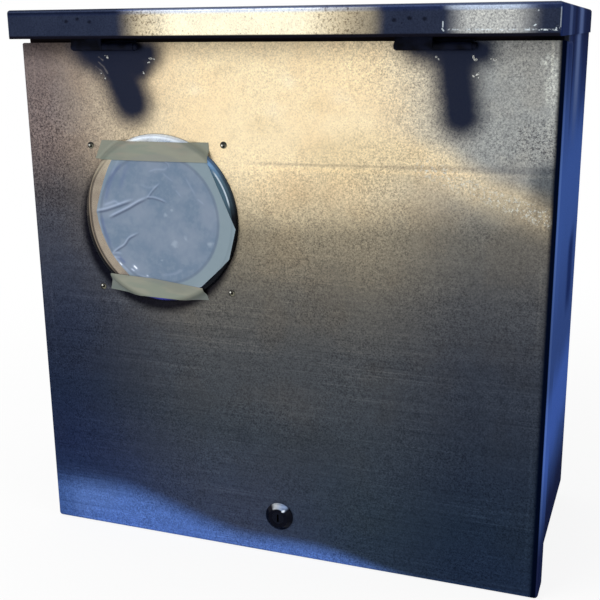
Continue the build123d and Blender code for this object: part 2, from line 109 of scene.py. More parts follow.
# Heads of the blind rivets as X and Z in millimetres
RIVETS = [(-183.9, 132.9), (-45.5, 136.6), (-41.4, -0.7), (-179.4, -4.5)]

# Outlines cut by hand, in millimetres from the window's centre
FILM_CORNERS = [
    (-46.9, 54.5), (-51.5, 46.4), (-56.7, 34.7), (-61.2, 22.6), (-65.0, 11.2),
    (-66.4, 4.0), (-65.0, -5.0), (-62.0, -15.5), (-57.8, -25.6), (-52.8, -35.2),
    (-47.7, -42.2), (-41.5, -49.5), (-34.5, -56.0), (-25.0, -64.0), (-14.8, -70.9), (21.2, -71.4),
    (46.6, -60.2), (63.8, -42.0), (71.6, -34.7), (79.2, -4.9), (51.5, 57.5),
    (23.2, 71.1), (-18.8, 70.6),
]
TAPE_CORNERS = {
    "top": [(-58.8, 72.8), (-2.8, 73.0), (52.4, 73.6),
            (53.1, 55.1), (-2.8, 55.0), (-67.2, 54.4)],
    "bottom": [(-54.6, -55.8), (-9.2, -57.6), (43.5, -63.2),
               (47.4, -75.9), (22.8, -76.8), (-29.6, -75.8), (-58.4, -72.8)],
}


def screen_colour(name, value, description):
    """Colour property whose default is written as it is seen on screen, from 0 to 255."""
    return FloatVectorProperty(name=name, description=description, subtype="COLOR_GAMMA",
                               size=3, min=0, max=1, default=[part / 255 for part in value])


def angle(name, degrees, description):
    """Angle property whose default is written in degrees."""
    return FloatProperty(name=name, description=description, subtype="ANGLE",
                         default=math.radians(degrees))


def setting(name, value, description, **settings):
    """Property from 0 up."""
    return FloatProperty(name=name, description=description, default=value, min=0, **settings)


def length(name, millimetres, description):
    """Length property whose default is written in millimetres."""
    return FloatProperty(name=name, description=description, unit="LENGTH", precision=5,
                         default=millimetres * MM)


class Signal:
    """Output of a node; arithmetic on it adds the next node."""

    def __init__(self, shade, socket):
        self.shade = shade
        self.socket = socket

    def __add__(self, other):
        return self.shade.math("ADD", self, other)

    def __sub__(self, other):
        return self.shade.math("SUBTRACT", self, other)

    def __rsub__(self, other):
        return self.shade.math("SUBTRACT", other, self)

    def __mul__(self, other):
        return self.shade.math("MULTIPLY", self, other)

    def __abs__(self):
        return self.shade.math("ABSOLUTE", self)

    def fade(self, start, end, low=0.0, high=1.0):
        """Smooth step from low, where this value is start, to high, where it is end."""
        return self.shade.node("MapRange", [self, start, end, low, high],
                               interpolation_type="SMOOTHSTEP")

    def near(self, middle, reach, core):
        """1 where this value is within core of the middle, and 0 past its reach."""
        return abs(self - middle).fade(reach, core)

    def covered(self, *coats):
        """This colour under coats, each given as an amount from 0 to 1 and a colour."""
        colour = self
        for amount, over in zip(coats[::2], coats[1::2]):
            colour = self.shade.blend(amount, colour, over)
        return colour

    def tinted(self, *coats):
        """This colour under clear coats, each given as an amount and three factors."""
        colour = self
        for amount, factors in zip(coats[::2], coats[1::2]):
            scaled = self.shade.blend(1.0, colour, Color(factors), "MULTIPLY")
            colour = colour.covered(amount, scaled)
        return colour


class Board:
    """Nodes of a material or a world, written as short expressions."""

    def __init__(self, owner):
        owner.use_nodes = True
        self.tree = owner.node_tree
        self.tree.nodes.clear()

    def node(self, kind, inputs=(), output=0, **settings):
        """Adds a node, feeds its inputs in order or by name, and gives back one output."""
        node = self.tree.nodes.new("ShaderNode" + kind)
        for name, value in settings.items():
            setattr(node, name, value)
        for key, value in inputs.items() if isinstance(inputs, dict) else enumerate(inputs):
            self.feed(node.inputs[key], value)
        return Signal(self, node.outputs[output])

    def feed(self, socket, value):
        """Links a signal to a socket, or sets the socket to a plain value or colour."""
        if isinstance(value, Signal):
            self.tree.links.new(value.socket, socket)
        else:
            socket.default_value = (*linear(value), 1) if socket.type == "RGBA" else value

    def most(self, *amounts):
        """The largest of several amounts."""
        total = amounts[0]
        for amount in amounts[1:]:
            total = self.math("MAXIMUM", total, amount)
        return total

    def math(self, operation, *values):
        """Math node on one or two values."""
        return self.node("Math", values, operation=operation)


class Shade(Board):
    """One material of the part, seen in the part's own frame."""

    def __init__(self, name, **constants):
        self.material = bpy.data.materials.new(name)
        super().__init__(self.material)
        self.surface = self.tree.nodes.new("ShaderNodeOutputMaterial").inputs["Surface"]
        self.shader = self.tree.nodes.new("ShaderNodeBsdfPrincipled")
        self.tree.links.new(self.shader.outputs["BSDF"], self.surface)
        self.place = self.node("TexCoord", output="Object")
        self.x, self.y, self.z = self.parts(self.place)
        self.finish(**constants)

    def parts(self, vector):
        """The X, Y and Z of a vector."""
        outputs = self.node("SeparateXYZ", [vector]).socket.node.outputs
        return [Signal(self, output) for output in outputs]

    def vector(self, operation, *values):
        """Vector math on one or two values."""
        output = "Value" if operation == "LENGTH" else "Vector"
        return self.node("VectorMath", values, output, operation=operation)

    def ramp(self, value, start, end, stops):
        """Colours along a value that runs from start to end; each stop is a value and a colour."""
        run = self.node("MapRange", [value, start, end, 0.0, 1.0])
        colours = self.node("ValToRGB", [run])
        marks = colours.socket.node.color_ramp.elements
        while len(marks) < len(stops):
            marks.new(0.5)
        for mark, (at, colour) in zip(marks, sorted(stops)):
            mark.position = (at - start) / (end - start)
            mark.color = (*linear(colour), 1)
        return colours

    def blend(self, amount, under, over, mode="MIX"):
        """Mixes two colours by an amount from 0 to 1."""
        return self.node("Mix", {0: amount, 6: under, 7: over}, 2, data_type="RGBA", blend_type=mode)

    def turn(self, x, z):
        """Angle round a centre, seen from the front, from the right going up."""
        return self.math("ARCTAN2", self.z - z, self.x - x)

    def radius(self, x, z):
        """Distance from a centre, seen from the front."""
        return self.diagonal(self.x - x, self.z - z)

    def diagonal(self, across, up):
        """Length of a slanting line from its two sides."""
        return self.math("SQRT", across * across + up * up)

    def from_corner(self, limits):
        """Distance past three limits, each measured outwards from the middle of the part."""
        past = self.vector("SUBTRACT", self.vector("ABSOLUTE", self.place), limits)
        return self.vector("LENGTH", self.vector("MAXIMUM", past, (0.0, 0.0, 0.0)))

    def stretched(self, scale, turn=0.0):
        """Object place, scaled along each axis and turned about Y, for a streaked pattern."""
        return self.node("Mapping", [self.place, (0, 0, 0), (0, turn, 0), scale])

    def framed(self, x, z, turn, scale=(1, 1, 1)):
        """Object place as measured from a point of the door's face, turned and scaled."""
        return self.node("Mapping", [self.place, (x, DOOR_FACE, z), (0, turn, 0), scale],
                         vector_type="TEXTURE")

    def noise(self, size, detail=2.0, rough=0.5, place=None):
        """Noise from 0 to 1 whose features are about size across."""
        return self.node("TexNoise", {"Vector": place or self.place, "Scale": 1 / size,
                                      "Detail": detail, "Roughness": rough}, "Fac")

    def cells(self, size, output="Distance"):
        """Cellular pattern whose cells are about size across."""
        return self.node("TexVoronoi", {"Vector": self.place, "Scale": 1 / size}, output)

    def ragged(self, reach, rag, size):
        """Distance with a torn look, by up to half of rag either way."""
        return reach + (self.noise(size, 3.0) - 0.5) * rag if rag else reach

    def spot(self, x, z, half_x, half_z, turn=0.0, core=0.0, rag=0.0, rag_size=0.006):
        """Soft oval seen from the front: 1 inside its core, 0 at its edge, in millimetres."""
        place = self.framed(x * MM, z * MM, math.radians(turn), (half_x * MM, THROUGH, half_z * MM))
        return self.ragged(self.vector("LENGTH", place), rag, rag_size).fade(1.0, core)

    def streak(self, start, end, radius, soft, rag=0.0, rag_size=0.006):
        """Soft stroke seen from the front, from start to end as X and Z in millimetres.

        It is 1 within its radius and 0 past its soft edge.
        """
        low, high = Vector(start) * MM, Vector(end) * MM
        along, middle = high - low, (low + high) / 2
        place = self.framed(middle.x, middle.y, math.atan2(along.x, along.y))
        across, _, up = self.parts(place)
        beyond = self.most(abs(up) - along.length / 2, 0.0)
        reach = self.ragged(self.diagonal(across, beyond), rag * MM, rag_size)
        return reach.fade((radius + soft) * MM, radius * MM)

    def relief(self, height, depth, strength):
        """Bump of a given depth in metres."""
        return self.node("Bump", {"Height": height, "Distance": depth, "Strength": strength})

    def finish(self, **inputs):
        """Feeds the shader's own sockets and gives back the material."""
        for name, value in inputs.items():
            self.feed(self.shader.inputs[name.replace("_", " ")], value)
        return self.material


def seen(colour):
    """Scene-linear colour of one that is written as seen on screen."""
    return Color(colour).from_srgb_to_scene_linear()


def linear(colour):
    """Scene-linear colour; a plain one is written as seen on screen, from 0 to 255."""
    return colour if isinstance(colour, Color) else seen([part / 255 for part in colour])


def dress(material, *names):
    """Gives CAD nodes their material."""
    for name in names:
        mesh = nodes[name].data
        mesh.materials.clear()
        mesh.materials.append(material)


def speckled(shade, colour, strength, size=0.0014, pit=(0.3, 0.3, 0.34)):
    """Sandy speckle of mill zinc: dark pits and light crystals, as strong as strength says."""
    grain = shade.noise(size, 2.0, 0.75)
    colour = colour.tinted(grain.fade(0.5, 0.32) * strength, pit,
                           grain.fade(0.5, 0.68) * strength, (1.6, 1.58, 1.52))
    return shade.vector("MINIMUM", colour, (0.97, 0.96, 0.95)), grain


def spangled(shade, colour):
    """Soft crystal spangle of hot-dipped zinc."""
    crystal = shade.node("SeparateColor", [shade.cells(0.014, "Color")])
    deep = Color([part * share for part, share in zip(colour, (0.66, 0.68, 0.7))])
    return shade.blend(crystal * 0.55, colour, deep)


class SheetSettings(bpy.types.PropertyGroup):
    """Tones of the galvanised sheet: bright, middle, dark and blue are painted reflections on the door,
    side is a painted blue reflection on the right side, plain is the bare zinc and paint is the touch-up
    paint.
    """

    # Painted reflections of the surroundings, as the sheet looks from the front right
    bright: screen_colour("Bright sheet", (242, 223, 185), "Sheet where it shines")
    middle: screen_colour("Middle sheet", (143, 134, 115), "Sheet half-way down the door")
    dark: screen_colour("Dark sheet", (60, 67, 76), "Sheet low on the door")
    blue: screen_colour("Blue sheet", (90, 123, 192), "Blue shine along the door's foot")
    side: screen_colour("Side sheet", (54, 82, 148), "Right side of the door and body")
    plain: screen_colour("Plain zinc", (150, 152, 152), "Zinc on the back, top and inside")
    paint: screen_colour("Touch-up paint", (28, 34, 52), "Dark paint sprayed at the hinges")
    bright_from: length("Bright from", 118, "Height on the door above which it shines")
    middle_at: length("Middle at", 60, "Height on the door of the middle tone")


# Grazing light on zinc sheet, held back and cooled
SHEET = {"Specular_IOR_Level": 0.0, "Specular_Tint": Color((0.42, 0.47, 0.6))}
METAL = 0.85
DULL = 0.1


def sheet_finish(shade, base, grain, rough, depth, dull=None):
    """Feeds the shader of a sheet: colour, metal and a grain that roughens it.

    Where dull is 1, the sheet shows its painted shine and mirrors little.
    """
    metal = dull.fade(0.0, 1.0, METAL, DULL) if dull else METAL
    return shade.finish(Base_Color=base, Roughness=grain.fade(0.3, 0.7, rough, 0.36),
                        Metallic=metal, Normal=shade.relief(grain, 0.00005, depth))


def plain_zinc(name, colour):
    """Mill zinc with soft crystal spangle and a light sandy grain."""
    shade = Shade(name, **SHEET)
    base, grain = speckled(shade, spangled(shade, seen(colour)), 0.25)
    return sheet_finish(shade, base, grain, 0.52, 0.4)


def paint_marks(shade):
    """Dark paint sprayed over the welds of the two hinges, smoky at its edges; along the door's top edge
    under the hood it also stands for painted shade.
    """
    bare = 1.0
    # The strokes along the door's top edge carry painted shade under the hood as well as paint
    for start, end, radius, soft in (
            ((-155, 214), (-138, 175), 9, 26), ((-170, 220), (-120, 218), 4, 24),
            ((-150, 212), (-130, 207), 5, 17), ((-182, 222), (-160, 221), 2, 30),
            ((163.5, 212), (169.5, 169), 7, 24), ((133, 226), (160, 223), 3, 25),
            ((170, 219), (185, 221), 3, 20)):
        bare = (1.0 - shade.streak(start, end, radius, soft, 5, 0.01)) * bare
    return 0.992 - bare


def door_shine(shade, tones):
    """Painted reflections on the door's face: bright at the top, dark below, blue along its foot, with
    painted shadows round the window's rim and under the hood.
    """
    x, z = shade.x, shade.z
    height = z + (shade.noise(0.09) - 0.5) * 0.026 - x.fade(-0.06, -0.2, 0.0, 0.025)
    level = height + (x * 0.42 - 0.0718)
    height = height - x.fade(0.0, 0.06, 0.0, 0.006) - x.fade(0.14, 0.2, 0.0, 0.006)
    dark, middle, bright = seen(tones.dark), seen(tones.middle), seen(tones.bright)
    # Painted reflection of the surroundings: bright at the top, dark lower down
    base = shade.ramp(height, -0.27, 0.23, [
        (-0.262, (60, 70, 95)), (-0.14, dark), (-0.06, dark * 0.89 + middle * 0.11),
        (0.0, dark * 0.64 + middle * 0.36), (tones.middle_at, middle),
        (0.088, middle * 0.46 + bright * 0.54), (tones.bright_from, bright),
    ])
    # Painted reflection: darker and bluer towards the left edge
    edge = shade.blend(height.fade(0.11, -0.01), Color((0.205, 0.205, 0.31)), Color((0.33, 0.41, 0.7)))
    left = shade.blend(1.0, base, edge, "MULTIPLY")
    right = shade.most(level.fade(0.111, 0.142), level.fade(0.128, 0.085, 0.0, 0.7), 0.28)
    # Painted reflections: darker and bluer on the right, greener at the lower right
    base = base.covered(x.fade(-0.055, -0.245), left).tinted(
        x.fade(0.07, 0.195) * right, (0.35, 0.44, 0.66),
        x.fade(-0.03, 0.1) * height.fade(-0.12, -0.23), (0.68, 0.8, 0.71),
        # Painted reflection: darker at the right edge and below the pressed crease
        shade.spot(244, 112, 24, 34, 0, 0.2, 0.5, 0.01), (0.42, 0.45, 0.5),
        shade.spot(90, 128, 100, 34, 0, 0.3, 0.5, 0.02), (0.84, 0.83, 0.8),
        shade.spot(30, 102, 50, 26, 0, 0.1, 0.5, 0.02), (0.86, 0.83, 0.8),
        # Painted shadow round the window's rim, deepest at its lower left
        shade.spot(WINDOW_X / MM - 4, WINDOW_Z / MM - 8.5, 87, 87, 0, 0.89), (0.1, 0.1, 0.14),
        # Painted shadow under the hood
        z.fade(0.205, 0.228) * x.fade(-0.06, -0.22, 0.3, 0.9), (0.3, 0.29, 0.3))
    # Painted blue reflection along the door's foot, darker towards the left
    rise = x.fade(-0.185, -0.025, -0.222, -0.251) + x.fade(0.03, 0.15, 0.0, -0.018)
    spread = x.fade(-0.2, 0.02, 0.017, 0.009)
    blue = shade.blend(x.fade(-0.215, -0.25), seen(tones.blue), (68, 97, 158))
    dusk = base.covered(x.fade(-0.1, -0.22), (44, 62, 98))
    foot = (rise - z).fade(spread * -1.0, spread)
    return base.covered(z.fade(-0.17, -0.215, 0.0, 0.35), dusk, foot, blue), height


def brushed(shade, base, height):
    """Fine brush lines low on the door, and soft mottling all over it."""
    amount = height.fade(0.09, -0.05, 0.05, 0.4) * shade.noise(0.07, 3.0).fade(0.35, 0.65, 0.4, 1.0)
    for size, stretch, turn in ((0.0018, 0.014, 0.01), (0.0036, 0.009, 0.004)):
        brush = shade.noise(size, 3.0, 0.6, place=shade.stretched((stretch, 1, 1), turn))
        base = base.tinted(brush.fade(0.47, 0.32) * amount, (0.6, 0.62, 0.66),
                           brush.fade(0.54, 0.7) * amount, (1.65, 1.6, 1.52))
    mottle = shade.noise(0.011, 4.0, 0.65)
    depth = height.fade(0.1, -0.05, 0.2, 0.3)
    return base.tinted(mottle.fade(0.5, 0.3) * depth, (0.6, 0.58, 0.57),
                       mottle.fade(0.52, 0.72) * depth, (1.22, 1.2, 1.16))


# Smears on the door: oval and its ragged edge as spot takes them, strength, and factors
COOL = 0.55, (1.06, 1.12, 1.24)
SOILED = 0.5, (0.8, 0.78, 0.74)
SMEARS = [
    (12, -108, 62, 30, 0, 0.1, 1.0, 0.02, 0.5, (1.32, 1.18, 1.05)),
    (-36, -142, 13, 22, 0, 0.0, 1.2, 0.008, 0.4, (0.62, 0.63, 0.68)),
    (4, 170, 16, 12, 20, 0.0, 1.3, 0.008, *COOL), (18, 196, 12, 9, 20, 0.0, 1.3, 0.008, *COOL),
    (-72, 186, 12, 9, 20, 0.0, 1.3, 0.008, *COOL), (66, 182, 18, 10, 20, 0.0, 1.3, 0.008, *COOL),
    (-8, 158, 22, 14, -15, 0.0, 1.3, 0.01, *SOILED), (44, 176, 20, 12, -15, 0.0, 1.3, 0.01, *SOILED),
    (-46, 204, 26, 8, -15, 0.0, 1.3, 0.01, *SOILED),
]


def door_wear(shade, base, height):
    """Brush lines, smears, the painted shade and highlight of the pressed crease, the worn patch and
    painted glints on the door.
    """
    x = shade.x
    base = brushed(shade, base, height)
    for *oval, strength, factors in SMEARS:
        base = base.tinted(shade.spot(*oval) * strength, factors)
    # Painted shade along the pressed crease, and a painted highlight just below it
    line = shade.z - (x * 0.0106 + 0.1225)
    along = x.fade(-0.05, 0.02)
    crease_shade = line.near(0.0, x.fade(0.1, 0.2, 0.0018, 0.005), 0.0003) * along
    crease_highlight = line.near(-0.0045, 0.003, 0.0005) * along
    base = base.tinted(shade.noise(0.05, 3.0).fade(0.44, 0.62) * 0.3, (1.0, 0.9, 0.8),
                       crease_shade * 0.52, (0.52, 0.52, 0.56), crease_highlight * 0.6, (1.18, 1.14, 1.08))
    # Painted glints scattered along a slanting line
    glint_grain = shade.noise(0.0022, 2.0, 0.8).fade(0.55, 0.63)
    painted_glints = glint_grain * shade.streak((140, 124), (248, 84), 2, 10, 4)
    patch = shade.most(shade.spot(243, 192, 8, 30, 0, 0.3, 1.0, 0.005),
                       shade.spot(238, 212, 7, 9, 40, 0.2, 1.0, 0.004))
    worn = patch * shade.noise(0.0026, 3.0, 0.8).fade(0.36, 0.66)
    upright = abs(x).near(DOOR_LINES, 0.0016, 0.0003) * shade.noise(0.02).fade(0.4, 0.6)
    base = base.covered(shade.most(painted_glints * 0.7, worn * 0.85), (208, 212, 206))
    return base.tinted(upright * 0.5, (1.5, 1.48, 1.4))


def door_grain(shade, base):
    """Speckle of the door, coarse and pitted near its upper corners, calm at the bright top."""
    rough = shade.noise(0.06, 3.0).fade(0.35, 0.65, 0.45, 0.75)
    coarse = shade.most(rough, shade.spot(-240, 120, 62, 130, 0, 0.3),
                        shade.spot(236, 148, 46, 36, 0, 0.3))
    calmed = shade.spot(-30, 178, 170, 80, 0, 0.45).fade(0.0, 1.0, 1.0, 0.5)
    base, grain = speckled(shade, base, coarse * calmed)
    corners = shade.most(shade.spot(-240, 130, 66, 120, 0, 0.3), shade.spot(232, 150, 34, 26, 0, 0.3))
    pitted = shade.noise(0.0024, 2.0, 0.7).fade(0.47, 0.36) * corners
    return base.tinted(pitted * 0.9, (0.42, 0.4, 0.42)), grain


def door_steel(tones):
    """Galvanised door with its painted reflections, wear, speckle, weld paint, and a right flange with a
    painted blue reflection, a painted highlight and painted shade at its bend.
    """
    shade = Shade("door_galvanised", **SHEET)
    x, y, z = shade.x, shade.y, shade.z
    base, height = door_shine(shade, tones)
    base, grain = door_grain(shade, door_wear(shade, base, height))
    scratches = shade.most(*[
        shade.streak(start, end, 0.1, soft, 3, 0.004) for start, end, soft in (
            ((-171, 211), (-165.5, 206.5), 0.9), ((-165.5, 206.5), (-161.5, 200.5), 0.9),
            ((-174, 207), (-168, 202.5), 0.8), ((-168, 202.5), (-165, 198), 0.8),
            ((-170, 215.5), (-166, 212.5), 0.9))])
    # Painted shade along the bend to the right flange, painted blue reflection on the flange, and a
    # painted highlight near its edge
    fold = x.fade(DOOR_SIDE - 0.0095, DOOR_SIDE - 0.005)
    side = x.fade(DOOR_SIDE - 0.0025, DOOR_SIDE - 0.0016)
    gleam = x.near(DOOR_SIDE - 0.0012, 0.0012, 0.0003)
    turned = shade.most(x.fade(0.0012 - DOOR_SIDE, 0.0003 - DOOR_SIDE),
                        z.fade(DOOR_LOW + 0.0012, DOOR_LOW + 0.0003))
    turned = turned * y.fade(DOOR_FACE + 0.001, DOOR_FACE + 0.003) * (1.0 - side)
    past = shade.from_corner((DOOR_SIDE - DOOR_BEND, -DOOR_FACE - DOOR_BEND, -DOOR_LOW - DOOR_BEND))
    inner = past.fade(DOOR_BEND - 0.0003, DOOR_BEND - 0.0009) * z.fade(0.224, 0.219)
    bare = spangled(shade, seen(tones.plain))
    base = base.covered(paint_marks(shade), seen(tones.paint), scratches * 0.3, (140, 136, 134),
                        fold, (2, 8, 26), side, painted_side_reflection(shade, tones).tinted(gleam, (1.8, 1.5, 1.2)),
                        turned, bare, inner, bare)
    dull = shade.most(side, fold) * (1.0 - inner)
    return sheet_finish(shade, base, grain, 0.48, 0.35, dull)


def painted_side_reflection(shade, tones):
    """Painted blue reflection of the right side: darker at its top and foot, with painted upright
    streaks of highlight and shade.
    """
    height = shade.z + (shade.noise(0.05) - 0.5) * 0.03
    # Painted reflection: navy at the top and foot, a brighter band low down
    night = (20, 28, 62)
    base = shade.blend(height.fade(0.08, -0.03) * 0.35, seen(tones.side), night)
    base = base.covered(height.near(-0.12, 0.06, 0.015) * 0.8, (60, 92, 172),
                        height.fade(0.11, 0.24) * 0.9, night, height.fade(-0.165, -0.225), night)
    y, upper = shade.y, height.fade(0.12, 0.2)
    # Painted reflection streaks: a dark patch, upright highlights and darker upright bands
    dark_reflection_patch = y.near(-0.055, 0.036, 0.008) * height.near(0.005, 0.05, 0.02)
    gleam = shade.most(y.near(-0.1, 0.03, 0.004), y.near(-0.192, 0.018, 0.004) * 0.6)
    dim = shade.most(y.near(-0.148, 0.018, 0.004), y.fade(-0.075, -0.045))
    base = base.covered(dark_reflection_patch * 0.85, (8, 28, 80), gleam * upper, (78, 95, 138))
    return base.tinted(dim * upper, (0.5, 0.5, 0.6))


def body_steel(tones):
    """Body wrap: painted blue reflection on its right side, painted shade in the gap under the hood,
    plain zinc elsewhere.
    """
    shade = Shade("body_galvanised", **SHEET)
    side = shade.x.fade(SIDE_FACE - 0.0022, SIDE_FACE - 0.0006)
    base = spangled(shade, seen(tones.plain)).covered(side, painted_side_reflection(shade, tones))
    base, grain = speckled(shade, base, side.fade(0.0, 1.0, 0.3, 0.12))
    # Painted shade on the body's front in the gap between hood and door
    under = shade.y.fade(-0.17, -0.195) * shade.z.fade(0.215, 0.224)
    gap_shade = shade.blend(shade.x.fade(0.215, 0.235), (34, 28, 30), (9, 10, 16))
    return sheet_finish(shade, base.covered(under * 0.99, gap_shade), grain, 0.5, 0.4, shade.most(side, under))


# Scratches on the lip of the hood, as streak takes them, each with its strength
LIP_STREAKS = [((158.3, 243.4), (158.3, 239.5), 0.1, 0.7, 0.7),
               ((157.8, 238), (158.9, 236.6), 0.2, 0.7, 0.6),
               ((249.3, 253), (249.3, 239), 0.2, 0.8, 0.7)]
# Height of the lip's middle, and a reach that covers its full height, in millimetres
LIP_MIDDLE = 244
LIP_REACH = 400


def lip_marks(shade, lip):
    """Pits, spot welds, scratches and scuffs on the lip of the hood."""
    ends, patch = [shade.most(*[shade.spot(x, LIP_MIDDLE, half, LIP_REACH, 0, core)
                                for x, half, core in places])
                   for places in (((-108, 30, 0.3), (72, 36, 0.3)), ((195, 36, 0.5),))]
    grain = shade.noise(0.0021, 2.0, 0.8).fade(0.5, 0.34)
    lip = lip.tinted(shade.cells(0.0068).fade(0.13, 0.07) * 0.5, (0.3, 0.28, 0.3),
                     grain * ends, (0.35, 0.32, 0.3))
    lip, _ = speckled(shade, lip, patch * 0.75, 0.0017, (0.38, 0.38, 0.4))
    welds = shade.most(*[shade.spot(x, z, 3.0, 2.4, 0, 0.25, 0.5, 0.002) for x, z in (
        (-186.5, 247.2), (-174.7, 249.1), (-162.4, 246.6),
        (118.6, 245.2), (131.3, 246.6), (143.5, 245.9))])
    torn = shade.noise(0.0035, 3.0, 0.7).fade(0.47, 0.58)
    scuffs = shade.most(
        shade.streak((162, 237.6), (249, 236.6), 0.1, 0.9) * torn * shade.x.fade(0.215, 0.228, 0.6, 0.9),
        shade.spot(246.8, 238, 2.0, 2.4, 0, 0.2) * torn,
        shade.streak((226, 238), (231.5, 241.3), 0.1, 0.7) * torn,
        shade.spot(232, 251.1, 0.9, 0.9) * 0.8,
        *[shade.streak(*line) * strength for *line, strength in LIP_STREAKS])
    return lip.covered(welds * 0.75, (12, 14, 24), scuffs, (216, 228, 236))


def hood_steel(tones):
    """Hood: bare middle of its lip in the sheet's painted reflection tones, dark paint over the hinge
    welds, painted reflection, highlight and shade along the lip's top and under it, and a painted blue
    reflection on the right cheek.
    """
    shade = Shade("hood_galvanised", **SHEET)
    x, y, z = shade.x, shade.y, shade.z
    along = x + (shade.noise(0.012, 3.0, 0.7) - 0.5) * 0.005
    middle = along.fade(-0.137, -0.11) * along.fade(0.112, 0.096)
    patch = along.fade(0.158, 0.182) * along.fade(0.238, 0.208)
    # The bare middle of the lip takes the sheet's painted reflection tones, bluer in the middle
    zinc = shade.blend(along.near(-0.02, 0.13, 0.05), seen(tones.middle), seen(tones.bright))
    zinc = zinc.tinted(along.near(-0.02, 0.11, 0.05), (1.12, 1.22, 1.36))
    lip = shade.blend(middle, (40, 47, 66), zinc).covered(patch, (180, 182, 180))
    cloud = shade.noise(0.02, 3.0).fade(0.4, 0.65)
    # Painted sky reflection along the lip's top, a painted highlight on its right and painted shade on
    # its top bend
    sky = z.fade(HOOD_TOP - 0.0065, HOOD_TOP - 0.0035)
    lit = sky * x.near(0.192, 0.036, 0.022)
    ridge_shade = z.fade(HOOD_TOP - 0.0027, HOOD_TOP - 0.0018)
    lip = lip_marks(shade, lip.tinted(cloud * 0.35, (0.72, 0.74, 0.8)))
    lip = lip.tinted(sky, (0.72, 0.86, 1.3)).covered(lit * 0.6, (196, 210, 226),
                                                     ridge_shade * 0.9, (52, 62, 92))
    # Painted shade at the top left of the lip and under its lower bend
    shaded = x.fade(-0.122, -0.138) * z.fade(HOOD_TOP - 0.006, HOOD_TOP - 0.003)
    front = y.fade(HOOD_FACE + 0.004, HOOD_FACE + 0.0008)
    under = z.fade(HOOD_LOW + 0.003, HOOD_LOW + 0.0021) * y.fade(HOOD_FACE + 0.01, HOOD_FACE + 0.006)
    # Painted blue reflection on the right cheek
    side = x.fade(*HOOD_CHEEK)
    base = spangled(shade, seen(tones.plain)).covered(front, lip)
    base = base.tinted(shaded * front, (0.5, 0.46, 0.38))
    base = base.covered(under, (22, 22, 32), side, painted_side_reflection(shade, tones))
    base, grain = speckled(shade, base, side.fade(0.0, 1.0, 0.35, 0.12))
    return sheet_finish(shade, base, grain, 0.48, 0.35, shade.most(side, under))


class OBJECT_OT_sheet_finishes(bpy.types.Operator):
    """Finish the door, body, hood and inside sheet parts"""
    bl_idname = "enclosure.sheet_finishes"
    bl_label = "Sheet finishes"

    def execute(self, context):
        tones = context.scene.enclosure_sheet
        dress(door_steel(tones), "door_panel")
        dress(body_steel(tones), "body_wrap")
        dress(hood_steel(tones), "rain_hood")
        dress(plain_zinc("zinc_sheet", tones.plain), "back_panel", "mounting_plate")
        return {"FINISHED"}


class HardwareSettings(bpy.types.PropertyGroup):
    """Colours of the hinges, fasteners, seals and lock."""

    hinge: screen_colour("Hinge", (3, 4, 12), "Hinge steel under dark paint")
    zinc: screen_colour("Zinc plating", (190, 192, 190), "Studs, nuts, washers, spacers and lock cam")
    brass: screen_colour("Brass", (205, 170, 96), "Earth terminal")
    rubber: screen_colour("Rubber", (38, 38, 40), "Cable grommets and window gasket")
    foam: screen_colour("Foam", (44, 44, 46), "Door seal")
    lock: screen_colour("Lock", (3, 5, 18), "Lock head and barrel")
    cylinder: screen_colour("Lock cylinder", (24, 27, 38), "Blackened face with the key slot")


def painted_hinge(colour):
    """Hinge steel with smooth dark paint that has worn off in a few places."""
    shade = Shade("hinge_painted", Specular_IOR_Level=0.04)
    worn = shade.noise(0.005, 4.0, 0.7).fade(0.66, 0.78)
    base = shade.blend(shade.noise(0.012, 2.0).fade(0.35, 0.65), seen(colour), (14, 18, 34))
    return shade.finish(Base_Color=base.covered(worn * 0.25, (84, 88, 98)),
                        Roughness=worn.fade(0.0, 1.0, 0.5, 0.35),
                        Normal=shade.relief(shade.noise(0.0016, 3.0), 0.00006, 0.3))


def plated(name, colour, rough=0.28, lathe=0.0006):
    """Plated metal with fine turning marks and a faint cloudiness."""
    shade = Shade(name, Metallic=1.0)
    cloud = shade.noise(0.004, 3.0)
    base = shade.blend(cloud * 0.5, seen(colour), seen([part * 0.72 for part in colour]))
    marks = shade.noise(lathe, 2.0, 0.6, place=shade.stretched((0.2, 1, 0.2)))
    return shade.finish(Base_Color=base, Roughness=cloud.fade(0.2, 0.8, rough, rough + 0.16),
                        Normal=shade.relief(marks, 0.00003, 0.3))


def soft_black(name, colour, pore, rough, depth):
    """Rubber or foam: matt, dark and pitted."""
    shade = Shade(name)
    dust = shade.noise(0.02, 3.0).fade(0.45, 0.75, 0.0, 0.35)
    return shade.finish(Base_Color=shade.blend(dust, seen(colour), (88, 88, 86)),
                        Roughness=dust.fade(0.0, 0.4, rough, 0.95),
                        Normal=shade.relief(shade.cells(pore), depth, 0.6))


